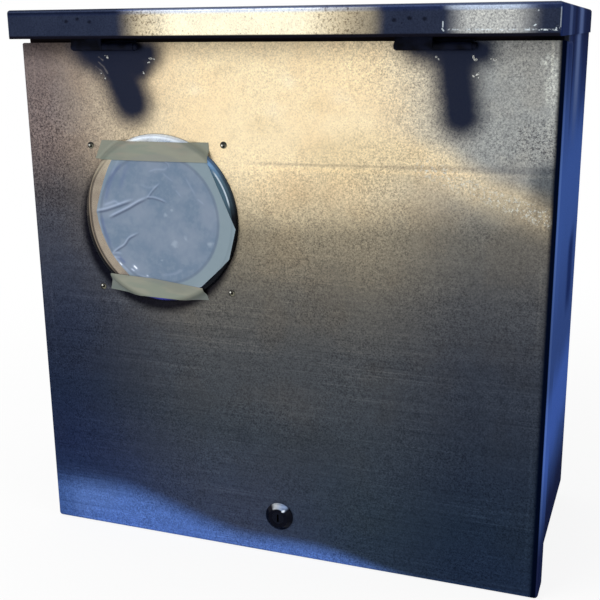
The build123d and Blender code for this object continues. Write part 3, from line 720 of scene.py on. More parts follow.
def glossy_lock(colour):
    """Gloss black lacquer with a painted highlight: a pale crescent on the head's upper bevel and a
    bright glint.
    """
    shade = Shade("lock_lacquer", Specular_IOR_Level=0.06)
    scuff = shade.noise(0.0016, 4.0, 0.75).fade(0.6, 0.76)
    centre = LOCK_X, LOCK_Z + 0.0012
    radius = shade.radius(*centre)
    # Painted highlight: a pale crescent on the upper bevel, bluer to the right, and a bright glint
    band = radius.fade(0.0078, 0.0092) * radius.fade(0.0152, 0.0142)
    arc = shade.turn(*centre).near(math.radians(84), math.radians(47), math.radians(29))
    streaks = shade.noise(0.003, 3.0, place=shade.stretched((0.3, 1, 1))).fade(0.3, 0.6, 0.6, 1.0)
    face = shade.y.fade(LOCK_LOW.y + 0.006, LOCK_LOW.y + 0.0045)
    rightward = shade.x.fade(LOCK_X - 0.004, LOCK_X + 0.006)
    gleam = shade.spot(LOCK_X / MM + 5.6, LOCK_Z / MM + 8.2, 2.4, 1.5, -20, 0.3)
    base = shade.blend(scuff * 0.25, seen(colour), (70, 78, 100)).covered(
        band * arc * streaks * face, shade.blend(rightward, (172, 178, 184), (136, 156, 192)),
        gleam * face, (226, 236, 250))
    return shade.finish(Base_Color=base, Roughness=scuff.fade(0.0, 1.0, 0.16, 0.4))


def dark_rivets():
    """Blind rivets: dark dished heads, with painted shade as a black core, a painted reflection as a
    pale ring at the lower right and a painted highlight as a bright spot on their rim.
    """
    shade = Shade("rivet_dark", Metallic=0.8, Specular_IOR_Level=0.2)
    base = shade.blend(shade.noise(0.002, 3.0), (30, 31, 32), (58, 58, 54))
    for x, z in RIVETS:
        # Painted reflection as a pale ring, painted shade as a black core, and a painted highlight as a
        # bright spot
        base = base.covered(shade.spot(x + 0.5, z - 0.5, 2.8, 2.8, 0, 0.6) * 0.8, (122, 120, 104),
                            shade.spot(x - 0.2, z + 0.2, 1.9, 1.9, 0, 0.55), (8, 8, 9),
                            shade.spot(x - 1.7, z + 0.9, 1.1, 1.1, 0, 0.4), (238, 236, 228))
    return shade.finish(Base_Color=base, Roughness=shade.noise(0.001).fade(0.3, 0.7, 0.35, 0.5))


class OBJECT_OT_hardware_finishes(bpy.types.Operator):
    """Finish the hinges, fasteners, seals and lock"""
    bl_idname = "enclosure.hardware_finishes"
    bl_label = "Hardware finishes"

    def execute(self, context):
        look = context.scene.enclosure_hardware
        dress(painted_hinge(look.hinge), *[f"hinge_{part}_{side}" for side in ("left", "right")
                                           for part in ("frame_leaf", "door_leaf", "pin")])
        dress(plated("zinc_plating", look.zinc), "plate_spacers", "plate_studs", "plate_washers",
              "plate_nuts", "window_retainer", "lock_nut")
        dress(dark_rivets(), "window_rivets")
        dress(plated("earth_brass", look.brass, 0.25), "earth_stud", "earth_washers", "earth_nuts")
        dress(plated("lock_plating", look.zinc, 0.2, 0.0004), "lock_cam", "lock_cam_screw")
        dress(plated("lock_cylinder_blackened", look.cylinder, 0.3, 0.0004), "lock_cylinder")
        dress(soft_black("rubber_moulded", look.rubber, 0.0007, 0.6, 0.00003),
              "cable_grommet_left", "cable_grommet_right", "window_gasket")
        dress(soft_black("foam_cells", look.foam, 0.0016, 0.9, 0.0003), "door_seal")
        dress(glossy_lock(look.lock), "lock_housing")
        return {"FINISHED"}


class WindowSettings(bpy.types.PropertyGroup):
    """The window's rim and pane, and the film and tapes laid over them."""

    # Painted reflections on the polished rim: warm on the left, dark on the right and foot
    rim_warm_reflection: screen_colour("Rim, left", (160, 149, 134), "Polished rim on its left")
    rim_dark_reflection: screen_colour("Rim, right", (5, 9, 17), "Polished rim on its right and foot")
    film: screen_colour("Film", (120, 134, 153), "Milky film over the window")
    tape: screen_colour("Tape", (122, 126, 116), "Tape across the film's ends")
    film_thickness: length("Film thickness", 0.12, "Thickness of the film")
    tape_thickness: length("Tape thickness", 0.14, "Thickness of the tape")
    crease_height: length("Crease height", 1.3, "Height of the film's largest crease")
    sag: length("Film sag", 0.55, "How far the film hangs into the ring")
    grid: IntProperty(name="Grid", description="Cells across the film", default=220, min=20)


# Painted reflections on the polished rim
RIM_NIGHT = (30, 35, 75)
RIM_BLUE = (60, 65, 155)
RIM_STEEL = (75, 100, 115)
RIM_SKY = (120, 160, 205)
RIM_PALE = (205, 215, 225)
RIM_CREAM = (210, 200, 175)
RIM_DIM = (60, 55, 50)


def round_ramp(shade, turn, stops):
    """Colours round the window, by angles in degrees from the right, going up."""
    return shade.ramp(turn, -math.pi, math.pi, [(math.radians(at), hue) for at, hue in stops])


def polished_rim(look):
    """Polished ring: flat face and outer bend, each with its own painted reflections round the window.
    """
    shade = Shade("rim_polished", Specular_IOR_Level=0.1)
    turn = shade.turn(WINDOW_X, WINDOW_Z)
    radius = shade.radius(WINDOW_X, WINDOW_Z)
    hidden = shade.x.fade(WINDOW_X - 0.03, WINDOW_X - 0.05)
    hidden = hidden * shade.z.fade(WINDOW_Z + 0.04, WINDOW_Z - 0.005)
    radius = radius + hidden * 0.0034
    warm, dark = seen(look.rim_warm_reflection), seen(look.rim_dark_reflection)
    # Painted reflections round the flat face and round the outer bend
    face = round_ramp(shade, turn, [
        (-180, warm), (-130, warm), (-110, RIM_NIGHT), (-90, RIM_BLUE), (-70, RIM_NIGHT), (-50, dark),
        (-5, dark), (20, RIM_STEEL), (36, RIM_STEEL), (55, RIM_SKY), (90, RIM_PALE),
        (125, RIM_CREAM), (150, warm), (180, warm),
    ])
    bend = round_ramp(shade, turn, [
        (-180, RIM_DIM), (-155, dark), (-110, dark), (-90, RIM_BLUE), (-70, dark), (5, dark),
        (30, RIM_STEEL), (50, RIM_SKY), (75, RIM_PALE), (105, RIM_PALE), (120, RIM_CREAM),
        (155, RIM_DIM), (180, RIM_DIM),
    ])
    # Painted reflection lines at the rim's edge and bend on the left, a painted highlight on the bend at
    # the upper right, and painted shade past the outer edge except at the top and left
    leftward = abs(turn).fade(2.1, 2.6)
    shoulder = RIM_BEND - 0.0004, RIM_BEND + 0.0012
    edge = radius.near(RIM_EDGE, 0.001, 0.0003) * leftward
    bend_dark_reflection = radius.near(RIM_BEND, 0.001, 0.0003) * leftward
    gleam = radius.near(RIM_BEND, 0.0011, 0.0003) * turn.near(0.45, 0.27, 0.16)
    outer_edge_shade = radius.fade(RIM_EDGE + 0.0005, RIM_EDGE + 0.0016) * turn.fade(1.1, 0.9)
    cloud = shade.noise(0.012, 3.0).fade(0.35, 0.65, 0.0, 0.45)
    base = shade.blend(radius.fade(*shoulder), face, bend).covered(
        edge * 0.4, (186, 170, 148), bend_dark_reflection * 0.6, (70, 62, 58), gleam * 0.85, (204, 218, 230))
    base = base.tinted(outer_edge_shade * 0.7, (0.2, 0.22, 0.3), cloud, (0.68, 0.66, 0.68))
    return shade.finish(Base_Color=base, Metallic=radius.fade(*shoulder, METAL, DULL),
                        Roughness=shade.noise(0.003, 3.0).fade(0.3, 0.8, 0.24, 0.36))


def clear_pane():
    """Clear pane with a faint haze of dust."""
    shade = Shade("pane_clear", IOR=1.58, Transmission_Weight=1.0)
    dust = shade.noise(0.012, 4.0).fade(0.45, 0.8)
    base = shade.blend(dust, (235, 240, 242), (205, 212, 214))
    return shade.finish(Base_Color=base, Roughness=dust.fade(0.0, 1.0, 0.04, 0.3))


def film_finish(look):
    """Milky film: ring shows through as a paler band, with folds, cloudy patches, painted highlight and
    shade on the folds, painted shade along the ring's edges, and painted glints.
    """
    shade = Shade("film_milky", IOR=1.45, Specular_IOR_Level=0.3)
    radius = shade.radius(WINDOW_X, WINDOW_Z)
    lit, shaded, blued = shade.parts(shade.node("Attribute", output="Vector", attribute_name="fold"))
    over_ring = radius.fade(RIM_HOLE - 0.0003, RIM_HOLE + 0.0027)
    over_ring = over_ring * shade.x.fade(WINDOW_X - 0.06, WINDOW_X + 0.06, 0.35, 0.85)
    base = shade.blend(shade.noise(0.028, 3.0).fade(0.35, 0.65), seen(look.film), (101, 120, 142))
    base = base.covered(
        shade.noise(0.006, 3.0, 0.6).fade(0.42, 0.7, 0.0, 0.35), (128, 142, 158),
        over_ring, (126, 143, 151),
        # Painted shade along the ring's inner edge and over its bend
        radius.near(RIM_HOLE, 0.0022, 0.0005) * 0.45, (88, 102, 120),
        radius.near(RIM_BEND + 0.0003, 0.0016, 0.0004) * 0.25, (96, 110, 122),
        # Blue of the marks, then painted shade and painted highlight of the folds, and painted glints
        blued * 0.6, (82, 98, 140), shaded * 0.85, (76, 88, 112), lit * 0.6, (160, 174, 200),
        lit.fade(1.2, 2.4), (240, 246, 250))
    for x, z, wide, tall in FILM_CLOUDS:
        spot = shade.spot(WINDOW_X / MM + x, WINDOW_Z / MM + z, wide, tall, 0, 0.0, 2.4, 0.005)
        base = base.covered(spot * 0.45, (158, 172, 188))
    return shade.finish(Base_Color=base, Roughness=shade.noise(0.006, 3.0).fade(0.35, 0.7, 0.28, 0.45),
                        Normal=shade.relief(shade.noise(0.008, 3.0), 0.0003, 0.4))


def tape_finish(look):
    """Thin beige tape: ring's edge and film's colour show through, fibres run along it, and painted
    shade lies where it bends over the rim's edge.
    """
    shade = Shade("tape_beige", IOR=1.45, Specular_IOR_Level=0.3)
    radius = shade.radius(WINDOW_X, WINDOW_Z)
    cloud, pink, green, fibres = [
        shade.noise(size, detail, rough, place=shade.stretched(scale, turn))
        for size, detail, rough, scale, turn in (
            (0.016, 3.0, 0.5, (0.3, 1, 1), 0.0), (0.012, 2.0, 0.5, (0.25, 1, 1.3), 0.0),
            (0.014, 2.0, 0.5, (0.3, 1, 1.6), 0.2), (0.0009, 3.0, 0.6, (0.12, 1, 1), 0.0))]
    cloud = cloud.fade(0.35, 0.65)
    behind = shade.blend(shade.z.fade(WINDOW_Z + 0.03, WINDOW_Z - 0.03), (126, 130, 118), (96, 105, 104))
    base = shade.blend(cloud, seen(look.tape), (136, 138, 125)).covered(
        pink.fade(0.54, 0.68) * 0.4, (150, 134, 122),
        green.fade(0.52, 0.66) * 0.45, (112, 126, 116),
        radius.fade(RIM_HOLE + 0.0022, RIM_HOLE - 0.0013) * 0.4, (118, 122, 120),
        radius.fade(RIM_EDGE - 0.0002, RIM_EDGE + 0.0058) * 0.75, behind,
        # Painted shade where the tape bends down over the rim's edge
        radius.near(RIM_EDGE + 0.0023, 0.0042, 0.0008) * 0.45, (76, 84, 76))
    return shade.finish(Base_Color=base, Roughness=cloud.fade(0.0, 1.0, 0.42, 0.6),
                        Normal=shade.relief(fibres, 0.00006, 0.5))


def clear_selection():
    """Leaves object mode with nothing selected."""
    if bpy.context.object and bpy.context.object.mode != "OBJECT":
        bpy.ops.object.mode_set(mode="OBJECT")
    bpy.ops.object.select_all(action="DESELECT")


def pick(piece):
    """Leaves object mode with one piece selected and active."""
    clear_selection()
    piece.select_set(True)
    bpy.context.view_layer.objects.active = piece


def settle(piece, name):
    """Names a piece and moves its place into its mesh."""
    piece.name = name
    piece.data.name = name
    bpy.ops.object.transform_apply(location=True, rotation=True, scale=True)
    return piece


def cut_sheet(name, outline, y, cell):
    """Flat grid facing the front, cut to an outline; also its flat width, height and area.

    The outline is in millimetres from the window's centre, and bulges outwards everywhere.
    """
    corners = [(WINDOW_X + x * MM, WINDOW_Z + z * MM) for x, z in outline]
    across, up = zip(*corners)
    wide = max(across) - min(across)
    tall = max(up) - min(up)
    clear_selection()
    bpy.ops.mesh.primitive_grid_add(x_subdivisions=round(wide / cell) + 2,
                                    y_subdivisions=round(tall / cell) + 2, size=1,
                                    location=(min(across) + wide / 2, y, min(up) + tall / 2),
                                    rotation=(math.pi / 2, 0, 0))
    sheet = bpy.context.object
    sheet.scale = (wide + 2 * cell, tall + 2 * cell, 1)
    settle(sheet, name)
    middle = Vector((sum(across), sum(up))) / len(corners)
    area = 0
    bpy.ops.object.mode_set(mode="EDIT")
    for (x, z), (next_x, next_z) in zip(corners, corners[1:] + corners[:1]):
        out = Vector((next_z - z, x - next_x)).normalized()
        if out.dot(Vector((x, z)) - middle) < 0:
            out = -out
        bpy.ops.mesh.select_all(action="SELECT")
        bpy.ops.mesh.bisect(plane_co=(x, 0, z), plane_no=(out.x, 0, out.y), clear_outer=True)
        area += (x * next_z - next_x * z) / 2
    bpy.ops.mesh.select_all(action="SELECT")
    bpy.ops.mesh.remove_doubles(threshold=0.05 * MM)
    bpy.ops.object.mode_set(mode="OBJECT")
    return sheet, wide, tall, abs(area)


def from_window(vertex):
    """Place of a vertex in millimetres from the window's centre."""
    return (vertex.co.x - WINDOW_X) / MM, (vertex.co.z - WINDOW_Z) / MM


def bell(distance, width):
    """Soft bump: 1 at no distance, fading out past its width."""
    return math.exp(-(distance / width) ** 2)


def smooth_step(value, start, end):
    """0 before start, 1 after end and smooth between."""
    share = min(1.0, max(0.0, (value - start) / (end - start)))
    return share * share * (3 - 2 * share)


def near_line(point, start, end):
    """Distance of a point from a line between two points, and how far along it lies."""
    along = end - start
    share = min(1.0, max(0.0, (point - start).dot(along) / along.length_squared))
    return (point - start - along * share).length, share


# Marks on the film by kind: strength, half-width, and points in millimetres from its centre. A fold
# lifts the film and has a painted highlight above and painted shade below; a light mark is a painted
# highlight
FILM_MARKS = {
    "fold": [
        (1, 1.7, [(-65.9, 5), (-57, 6.8), (-46, 10.4), (-35, 14.4), (-27.5, 17)]),
        (1, 1.6, [(-51.4, 0.2), (-42.3, 4.6), (-31.2, 10), (-20.1, 16.2), (-10.2, 20.6)]),
        (0.5, 1.1, [(-10.3, 20.6), (-4.6, 27.5), (2, 33.5)]),
        (0.7, 1.2, [(-10.3, 20.6), (-4, 20.6), (3.3, 18.9), (8.5, 16.8)]),
        (0.8, 1.3, [(-50.5, -35), (-44.7, -30.7), (-37.9, -26.3), (-33.1, -20.1), (-27.5, -16.8),
                    (-23, -14.6)]),
        (0.35, 1, [(8.3, 55.1), (12.4, 52.5), (13.2, 48.8)]),
    ],
    "light": [
        (0.8, 1.6, [(-58, 11), (-51, 13.6), (-46, 15.2), (-41, 13)]),
        (0.8, 1.3, [(-51.7, -36.1), (-47.2, -34.8), (-41.7, -35.4)]),
        (0.7, 1.2, [(-49.7, -38.9), (-43.1, -39.5)]),
        (0.45, 1.1, [(-7.8, 45.2), (-0.4, 47.4), (8, 47.7), (12.3, 50.6)]),
        (0.35, 0.9, [(6.7, 43.9), (12.7, 39.5), (16.7, 36.9)]),
        (0.45, 0.8, [(19.5, 28.6), (24.4, 23.2)]), (0.35, 1, [(30.3, 40.2), (35, 32.1), (39.8, 24)]),
        (0.5, 0.8, [(41.7, 21.3), (47.7, 16.9)]),
        (0.25, 1.4, [(-17, 32.6), (-9.7, 30.1), (-2.3, 31.4), (4.2, 35.4)]),
        (0.3, 1.6, [(-39, 55), (-44.5, 47), (-48.5, 40)]),
        (0.3, 1.4, [(-64.4, -4), (-61, -16.5), (-55.5, -29)]),
        (0.9, 1.4, [(-50.7, -38), (-41.3, -47), (-31.9, -54.6)]),
        (2.6, 1.4, [(-29.3, -46.6), (-27.4, -48.2), (-25.2, -50.1)]),
        (2, 0.9, [(-32, -49.8), (-28.4, -52)]), (1.7, 0.8, [(-44.5, -44.5), (-41.4, -47.3)]),
        (2, 0.8, [(-15.7, -55.3), (-13.6, -56.1)]),
        (0.6, 1.1, [(-26, -55), (-10, -58.4), (10, -61), (34, -62.5), (46, -61)]),
        (0.3, 1.6, [(2, -54), (14, -51.5), (24, -46.5)]),
    ],
    "blue": [
        (0.8, 2, [(-36, 52.6), (-46.6, 39.9), (-53, 25.3), (-57.2, 12.6)]),
        (0.5, 2.2, [(-29.7, 51.9), (-35.9, 37.5), (-39.9, 25.9)]),
        (0.45, 1.2, [(-42.5, 51.4), (-51, 37.8), (-56.3, 25.2)]),
        (0.9, 1.7, [(-61.4, -0.3), (-58.1, -15.8), (-52.4, -30.2)]),
        (1.1, 1.7, [(-45.3, -38.6), (-42, -41.6), (-37.5, -45.4)]),
    ],
}
FILM_CLOUDS = [(16, -21.8, 5.5, 5.5), (27.7, -17.3, 3.6, 3.2), (53.4, -20.4, 3.8, 3.4),
               (14.4, 9.6, 2.6, 2.0), (7.8, 4.5, 3.0, 2.4), (1.3, -39.3, 2.4, 1.6)]


def smooth_run(points, steps=5):
    """Close-set points along a smooth line through a few given points."""
    run = [Vector(point) for point in points]
    ends = [run[0] * 2 - run[1], *run, run[-1] * 2 - run[-2]]
    smooth = []
    for before, here, there, after in zip(ends, ends[1:], ends[2:], ends[3:]):
        for step in range(steps):
            share = step / steps
            smooth.append(here + (there - before) * (share / 2)
                          + (before * 2 - here * 5 + there * 4 - after) * (share ** 2 / 2)
                          + (here * 3 - before - there * 3 + after) * (share ** 3 / 2))
    return smooth + [run[-1]]


class FilmMark:
    """Fold, streak or glint on the film, along a smooth line."""

    def __init__(self, kind, strength, width, points):
        self.kind = kind
        self.strength = strength
        self.width = width
        self.run = smooth_run(points)
        self.low = [min(values) - 3 * width for values in zip(*self.run)]
        self.high = [max(values) + 3 * width for values in zip(*self.run)]

    def near(self, place):
        """Strength at a place and its distance above the line, or None where it is far off."""
        if not all(low < part < high for low, part, high in zip(self.low, place, self.high)):
            return None
        best = None
        for index, (start, end) in enumerate(zip(self.run, self.run[1:])):
            distance, share = near_line(place, start, end)
            if best is None or distance < best[0]:
                best = (distance, (index + share) / (len(self.run) - 1), start, end)
        distance, share, start, end = best
        along = end - start
        above = along.x * (place.y - start.y) - along.y * (place.x - start.x)
        if along.x < 0:
            above = -above
        taper = smooth_step(share, -0.12, 0.14) * smooth_step(1 - share, -0.12, 0.3)
        return self.strength * taper, math.copysign(distance, above)


def film_lift(x, z, look, marks):
    """How far the film stands forward of its flat back, at a place in millimetres."""
    inside = 1 - smooth_step(math.hypot(x, z), *FILM_SETTLES)
    lift = -look.sag * inside
    for mark in marks:
        found = mark.near(Vector((x, z))) if mark.kind == "fold" else None
        if found:
            lift += look.crease_height * found[0] * bell(found[1], mark.width) * 0.5
    waves = math.sin(0.11 * x + 0.07 * z + 1.3) * math.sin(0.05 * x - 0.13 * z)
    return lift + 0.06 * MM * waves * inside


def mark_shade(x, z, marks):
    """Painted highlight, painted shade and blue of the film's marks at a place in millimetres."""
    light = dark = blue = 0.0
    for mark in marks:
        found = mark.near(Vector((x, z)))
        if not found:
            continue
        strength, side = found
        if mark.kind == "fold":
            light += strength * bell(side - 0.5 * mark.width, 0.6 * mark.width)
            dark += strength * bell(side + 0.8 * mark.width, 0.65 * mark.width)
        elif mark.kind == "light":
            light += strength * bell(side, 0.8 * mark.width)
        else:
            blue += strength * bell(side, mark.width)
    return light, dark, min(blue, 1.2)


def make_film(look):
    """Film cut by hand, pulled over the window and creased."""
    low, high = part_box("window_film")
    cell = (high.x - low.x) / look.grid
    film, wide, tall, area = cut_sheet("film_creased", FILM_CORNERS, high.y, cell)
    fold = film.data.attributes.new("fold", "FLOAT_VECTOR", "POINT")
    marks = [FilmMark(kind, *values) for kind, rows in FILM_MARKS.items() for values in rows]
    for vertex, value in zip(film.data.vertices, fold.data):
        x, z = from_window(vertex)
        vertex.co.y = high.y - film_lift(x, z, look, marks)
        value.vector = mark_shade(x, z, marks)
    thicken(film, look.film_thickness)
    film.data.materials.append(film_finish(look))
    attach(film, "door")
    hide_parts("window_film")


def thicken(piece, thickness):
    """Gives a sheet its thickness, forwards, and smooths its faces."""
    pick(piece)
    bpy.ops.object.mode_set(mode="EDIT")
    bpy.ops.mesh.select_all(action="SELECT")
    bpy.ops.mesh.normals_make_consistent(inside=False)
    bpy.ops.object.mode_set(mode="OBJECT")
    wall = piece.modifiers.new("Wall", "SOLIDIFY")
    wall.thickness = thickness
    front = sum(polygon.normal.y for polygon in piece.data.polygons) < 0
    wall.offset = 1 if front else -1
    bpy.ops.object.modifier_apply(modifier=wall.name)
    bpy.ops.object.shade_smooth_by_angle(angle=SMOOTH_BELOW)


def tape_lift(x, z, top):
    """How far the tape stands in front of the door, at a place in millimetres."""
    over = 1 - smooth_step(math.hypot(x, z), *TAPE_SETTLES)
    ripple = 0.05 * MM * math.sin(0.9 * x + 0.3 * z) * math.sin(0.35 * x + 1.0)
    return TAPE_GAP + over * (top - TAPE_GAP) + abs(ripple) * (1 - over)


def make_tape(end, look, material):
    """Strip of tape across one end of the film, following the rim down to the door."""
    node = f"tape_{end}"
    tape, wide, tall, area = cut_sheet(f"{node}_laid", TAPE_CORNERS[end], DOOR_FACE, TAPE_CELL)
    top = DOOR_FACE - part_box(node)[0].y - look.tape_thickness - 0.01 * MM
    for vertex in tape.data.vertices:
        vertex.co.y = DOOR_FACE - tape_lift(*from_window(vertex), top)
    thicken(tape, look.tape_thickness)
    tape.data.materials.append(material)
    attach(tape, "door")
    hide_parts(node)


class OBJECT_OT_window(bpy.types.Operator):
    """Finish the window and lay the film and tapes over it"""
    bl_idname = "enclosure.window"
    bl_label = "Window, film and tapes"

    def execute(self, context):
        look = context.scene.enclosure_window
        dress(polished_rim(look), "window_frame")
        dress(clear_pane(), "window_pane")
        make_film(look)
        material = tape_finish(look)
        for end in TAPE_CORNERS:
            make_tape(end, look, material)
        return {"FINISHED"}


class SpatterSettings(bpy.types.PropertyGroup):
    """Beads of weld spatter stuck to the door round its hinges."""

    bead: length("Bead", 0.9, "Half the width of an ordinary bead")
    stand: length("Stand", 0.6, "How far an ordinary bead stands in front of the door")
    metal: screen_colour("Bead metal", (200, 202, 198), "Bright metal of the beads")


# Beads as X and Z in millimetres, size, length over width, and turn in degrees
BEADS = [
    (148.1, 215.6, 0.9, 1.0, 0), (150.0, 213.8, 0.6, 1.8, 60), (178.7, 215.6, 0.9, 1.4, 80),
    (180.4, 213.6, 1.0, 1.6, 10), (196.0, 213.6, 1.1, 1.3, 20), (193.2, 214.0, 0.55, 1.6, 0),
    (179.2, 200.3, 0.75, 1.6, 30), (182.4, 201.8, 0.95, 1.8, -40), (183.4, 199.2, 0.6, 1.0, 0),
    (-160.8, 215.1, 0.95, 1.5, 70), (-163.4, 216.8, 0.55, 1.0, 0), (-116.0, 213.9, 0.9, 2.2, 5),
    (-112.4, 213.4, 0.6, 1.5, 30), (-118.0, 210.6, 0.75, 2.0, -20), (-123.8, 201.1, 0.7, 2.0, 55),
    (-164.4, 196.0, 0.7, 1.2, 0), (-168.3, 200.5, 0.6, 1.2, 30),
]


def shape_bead(look):
    """One rounded bead with a flat back and a thin run-out foot, facing the front."""
    clear_selection()
    bpy.ops.mesh.primitive_uv_sphere_add(segments=12, ring_count=8, radius=1,
                                         rotation=(math.pi / 2, 0, 0))
    bead = bpy.context.object
    settle(bead, "weld_bead")
    bpy.ops.object.mode_set(mode="EDIT")
    bpy.ops.mesh.select_all(action="SELECT")
    bpy.ops.mesh.bisect(plane_co=(0, 0.3, 0), plane_no=(0, 1, 0), use_fill=True, clear_outer=True)
    bpy.ops.mesh.select_all(action="DESELECT")
    bpy.ops.object.mode_set(mode="OBJECT")
    for polygon in bead.data.polygons:
        polygon.select = polygon.normal.y > 0.95
    bpy.ops.object.mode_set(mode="EDIT")
    bpy.ops.mesh.select_mode(type="FACE")
    bpy.ops.mesh.extrude_region_move(TRANSFORM_OT_translate={"value": (0, 0.12, 0)})
    bpy.ops.transform.resize(value=(1.35, 1, 1.35))
    bpy.ops.mesh.select_all(action="SELECT")
    bpy.ops.transform.vertex_random(offset=0.09, uniform=0.2, normal=0.0, seed=4)
    bpy.ops.mesh.normals_make_consistent(inside=False)
    bpy.ops.object.mode_set(mode="OBJECT")
    bead.scale = (look.bead, look.stand, look.bead)
    settle(bead, "weld_bead")
    bpy.ops.object.shade_smooth_by_angle(angle=SMOOTH_BELOW)
    return bead


def bead_finish(look):
    """Bright spattered metal with dark burnt pits."""
    shade = Shade("weld_spatter_metal", Specular_IOR_Level=0.3)
    burnt = shade.noise(0.0012, 3.0, 0.7).fade(0.46, 0.6)
    base = shade.blend(burnt, seen(look.metal), (58, 56, 58))
    return shade.finish(Base_Color=base, Metallic=burnt.fade(0.0, 1.0, 0.4, 0.1),
                        Roughness=burnt.fade(0.0, 1.0, 0.4, 0.7))


def scatter_beads(look):
    """Copies of the bead round both hinges, joined into one piece."""
    bead = shape_bead(look)
    foot = max(vertex.co.y for vertex in bead.data.vertices)
    copies = []
    for x, z, size, stretch, turn in BEADS:
        pick(bead)
        bpy.ops.object.duplicate(linked=False)
        copy = bpy.context.object
        copy.scale = (size * stretch, size, size)
        copy.rotation_euler = (0, math.radians(turn), 0)
        copy.location = (x * MM, DOOR_FACE - foot * size + 0.04 * MM, z * MM)
        copies.append(settle(copy, "weld_bead_copy"))
    clear_selection()
    bpy.data.objects.remove(bead)
    for copy in copies:
        copy.select_set(True)
    bpy.context.view_layer.objects.active = copies[0]
    bpy.ops.object.join()
    spatter = settle(bpy.context.object, "weld_spatter")
    spatter.data.materials.clear()
    spatter.data.materials.append(bead_finish(look))
    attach(spatter, "door")


class OBJECT_OT_weld_spatter(bpy.types.Operator):
    """Stick beads of weld spatter to the door round its hinges"""
    bl_idname = "enclosure.weld_spatter"
    bl_label = "Weld spatter"

    def execute(self, context):
        scatter_beads(context.scene.enclosure_spatter)
        return {"FINISHED"}


class StudioSettings(bpy.types.PropertyGroup):
    """Camera, lamps, floor and surroundings."""

    camera_place: FloatVectorProperty(
        name="Camera place", description="Where the camera stands", subtype="TRANSLATION",
        default=(0.33708, -1.06638, 0.24255))
    camera_turn: angle("Camera turn", 20.382, "Turn about the upright axis")
    camera_dip: angle("Camera dip", 15.304, "Dip below level")
    camera_roll: angle("Camera roll", -0.612, "Roll about the line of sight")
    lens: FloatProperty(name="Lens", description="Focal length in millimetres", default=60.43, min=10)
    surroundings: setting("Surroundings", 0.72, "Light from all round")
    key: setting("Key lamp", 31.0, "Power of the large lamp at the upper left", unit="POWER")
    fill: setting("Fill lamp", 9.0, "Power of the soft lamp at the right", unit="POWER")
    floor: screen_colour("Floor", (238, 238, 238), "Pale floor under the enclosure")
    floor_glow: setting("Floor glow", 0.86, "Share of the floor near the enclosure that the "
                      "camera sees as plain white", max=1)


def stand(name, data, place, turned):
    """Puts a camera or lamp in its place, turned by a matrix."""
    holder = bpy.data.objects.new(name, data)
    holder.matrix_world = Matrix.Translation(place) @ turned
    bpy.context.scene.collection.objects.link(holder)
    return holder


def set_camera(studio):
    """Camera at the enclosure's upper right front."""
    camera = bpy.data.cameras.new("studio_camera")
    camera.lens = studio.lens
    camera.sensor_width = 36
    camera.clip_start = 0.01
    turned = (Matrix.Rotation(studio.camera_turn, 4, "Z")
              @ Matrix.Rotation(math.pi / 2 - studio.camera_dip, 4, "X")
              @ Matrix.Rotation(studio.camera_roll, 4, "Z"))
    bpy.context.scene.camera = stand("studio_camera", camera, studio.camera_place, turned)


def hang_lamp(name, place, size, power):
    """Large soft lamp that looks at the middle of the enclosure."""
    lamp = bpy.data.lights.new(name, "AREA")
    lamp.shape = "RECTANGLE"
    lamp.size, lamp.size_y = size
    lamp.energy = power
    aim = (LAMPS_LOOK_AT - Vector(place)).to_track_quat("-Z", "Y")
    stand(name, lamp, place, aim.to_matrix().to_4x4())


def rays(board, *kinds):
    """1 where one of the given kinds of ray looks, and 0 elsewhere."""
    return board.most(*[board.node("LightPath", output=f"Is {kind} Ray") for kind in kinds])


def light_surroundings(strength):
    """Even light all round, which the camera, metal and glass see as white."""
    world = bpy.data.worlds.new("studio_world")
    bpy.context.scene.world = world
    board = Board(world)
    soft, white = [board.node("Background", [(255, 255, 255), level]) for level in (strength, 1.0)]
    plain = rays(board, "Camera", "Glossy", "Transmission")
    surface = board.tree.nodes.new("ShaderNodeOutputWorld").inputs["Surface"]
    board.feed(surface, board.node("MixShader", [plain, soft, white]))


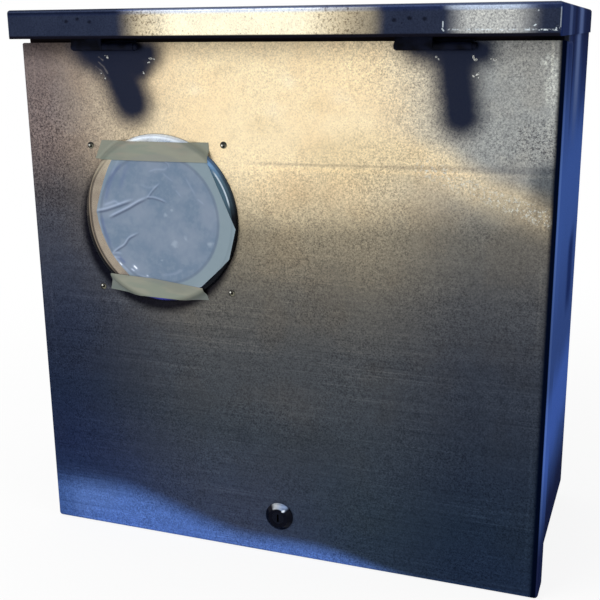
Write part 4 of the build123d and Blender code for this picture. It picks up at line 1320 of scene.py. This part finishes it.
def lay_floor(studio):
    """Wide pale floor that the camera sees fade to white, and that keeps the shadow."""
    clear_selection()
    bpy.ops.mesh.primitive_grid_add(x_subdivisions=8, y_subdivisions=8, size=14,
                                    location=(0, 0, FLOOR_LEVEL))
    floor = settle(bpy.context.object, "studio_floor")
    shade = Shade("floor_pale", Roughness=0.9)
    base = shade.blend(shade.noise(0.6), seen(studio.floor), (242, 242, 242))
    far = shade.vector("LENGTH", shade.place).fade(0.35, 1.1, studio.floor_glow, 1.0)
    paper = Signal(shade, shade.shader.outputs[0])
    glow = shade.node("Emission")
    mixed = shade.node("MixShader", [far * rays(shade, "Camera"), paper, glow])
    shade.feed(shade.surface, mixed)
    floor.data.materials.append(shade.finish(Base_Color=base))


class OBJECT_OT_studio(bpy.types.Operator):
    """Set the camera, lamps, surroundings and floor"""
    bl_idname = "enclosure.studio"
    bl_label = "Studio"

    def execute(self, context):
        studio = context.scene.enclosure_studio
        set_camera(studio)
        light_surroundings(studio.surroundings)
        hang_lamp("key_lamp", (-1.3, -1.7, 1.6), (1.8, 1.4), studio.key)
        hang_lamp("fill_lamp", (2.0, -0.8, 1.0), (1.6, 1.6), studio.fill)
        lay_floor(studio)
        context.scene.view_settings.view_transform = "Standard"
        return {"FINISHED"}


class VIEW3D_PT_enclosure(bpy.types.Panel):
    """Lists the steps that finish the enclosure and set its studio"""
    bl_label = "Enclosure"
    bl_space_type = "VIEW_3D"
    bl_region_type = "UI"
    bl_category = "Enclosure"

    def draw(self, context):
        for operator in STEPS:
            self.layout.operator(operator.bl_idname)


STEPS = [OBJECT_OT_sheet_finishes, OBJECT_OT_hardware_finishes, OBJECT_OT_window,
         OBJECT_OT_weld_spatter, OBJECT_OT_studio]
SETTINGS = {
    "enclosure_sheet": SheetSettings,
    "enclosure_hardware": HardwareSettings,
    "enclosure_window": WindowSettings,
    "enclosure_spatter": SpatterSettings,
    "enclosure_studio": StudioSettings,
}


def register():
    for name, group in SETTINGS.items():
        bpy.utils.register_class(group)
        setattr(bpy.types.Scene, name, PointerProperty(type=group))
    for operator in STEPS:
        bpy.utils.register_class(operator)
    bpy.utils.register_class(VIEW3D_PT_enclosure)


def unregister():
    bpy.utils.unregister_class(VIEW3D_PT_enclosure)
    for operator in reversed(STEPS):
        bpy.utils.unregister_class(operator)
    for name, group in reversed(list(SETTINGS.items())):
        delattr(bpy.types.Scene, name)
        bpy.utils.unregister_class(group)


def main():
    """Builds everything in order."""
    register()
    for operator in STEPS:
        getattr(bpy.ops.enclosure, operator.bl_idname.split(".")[1])()


if __name__ == "__main__":
    main()
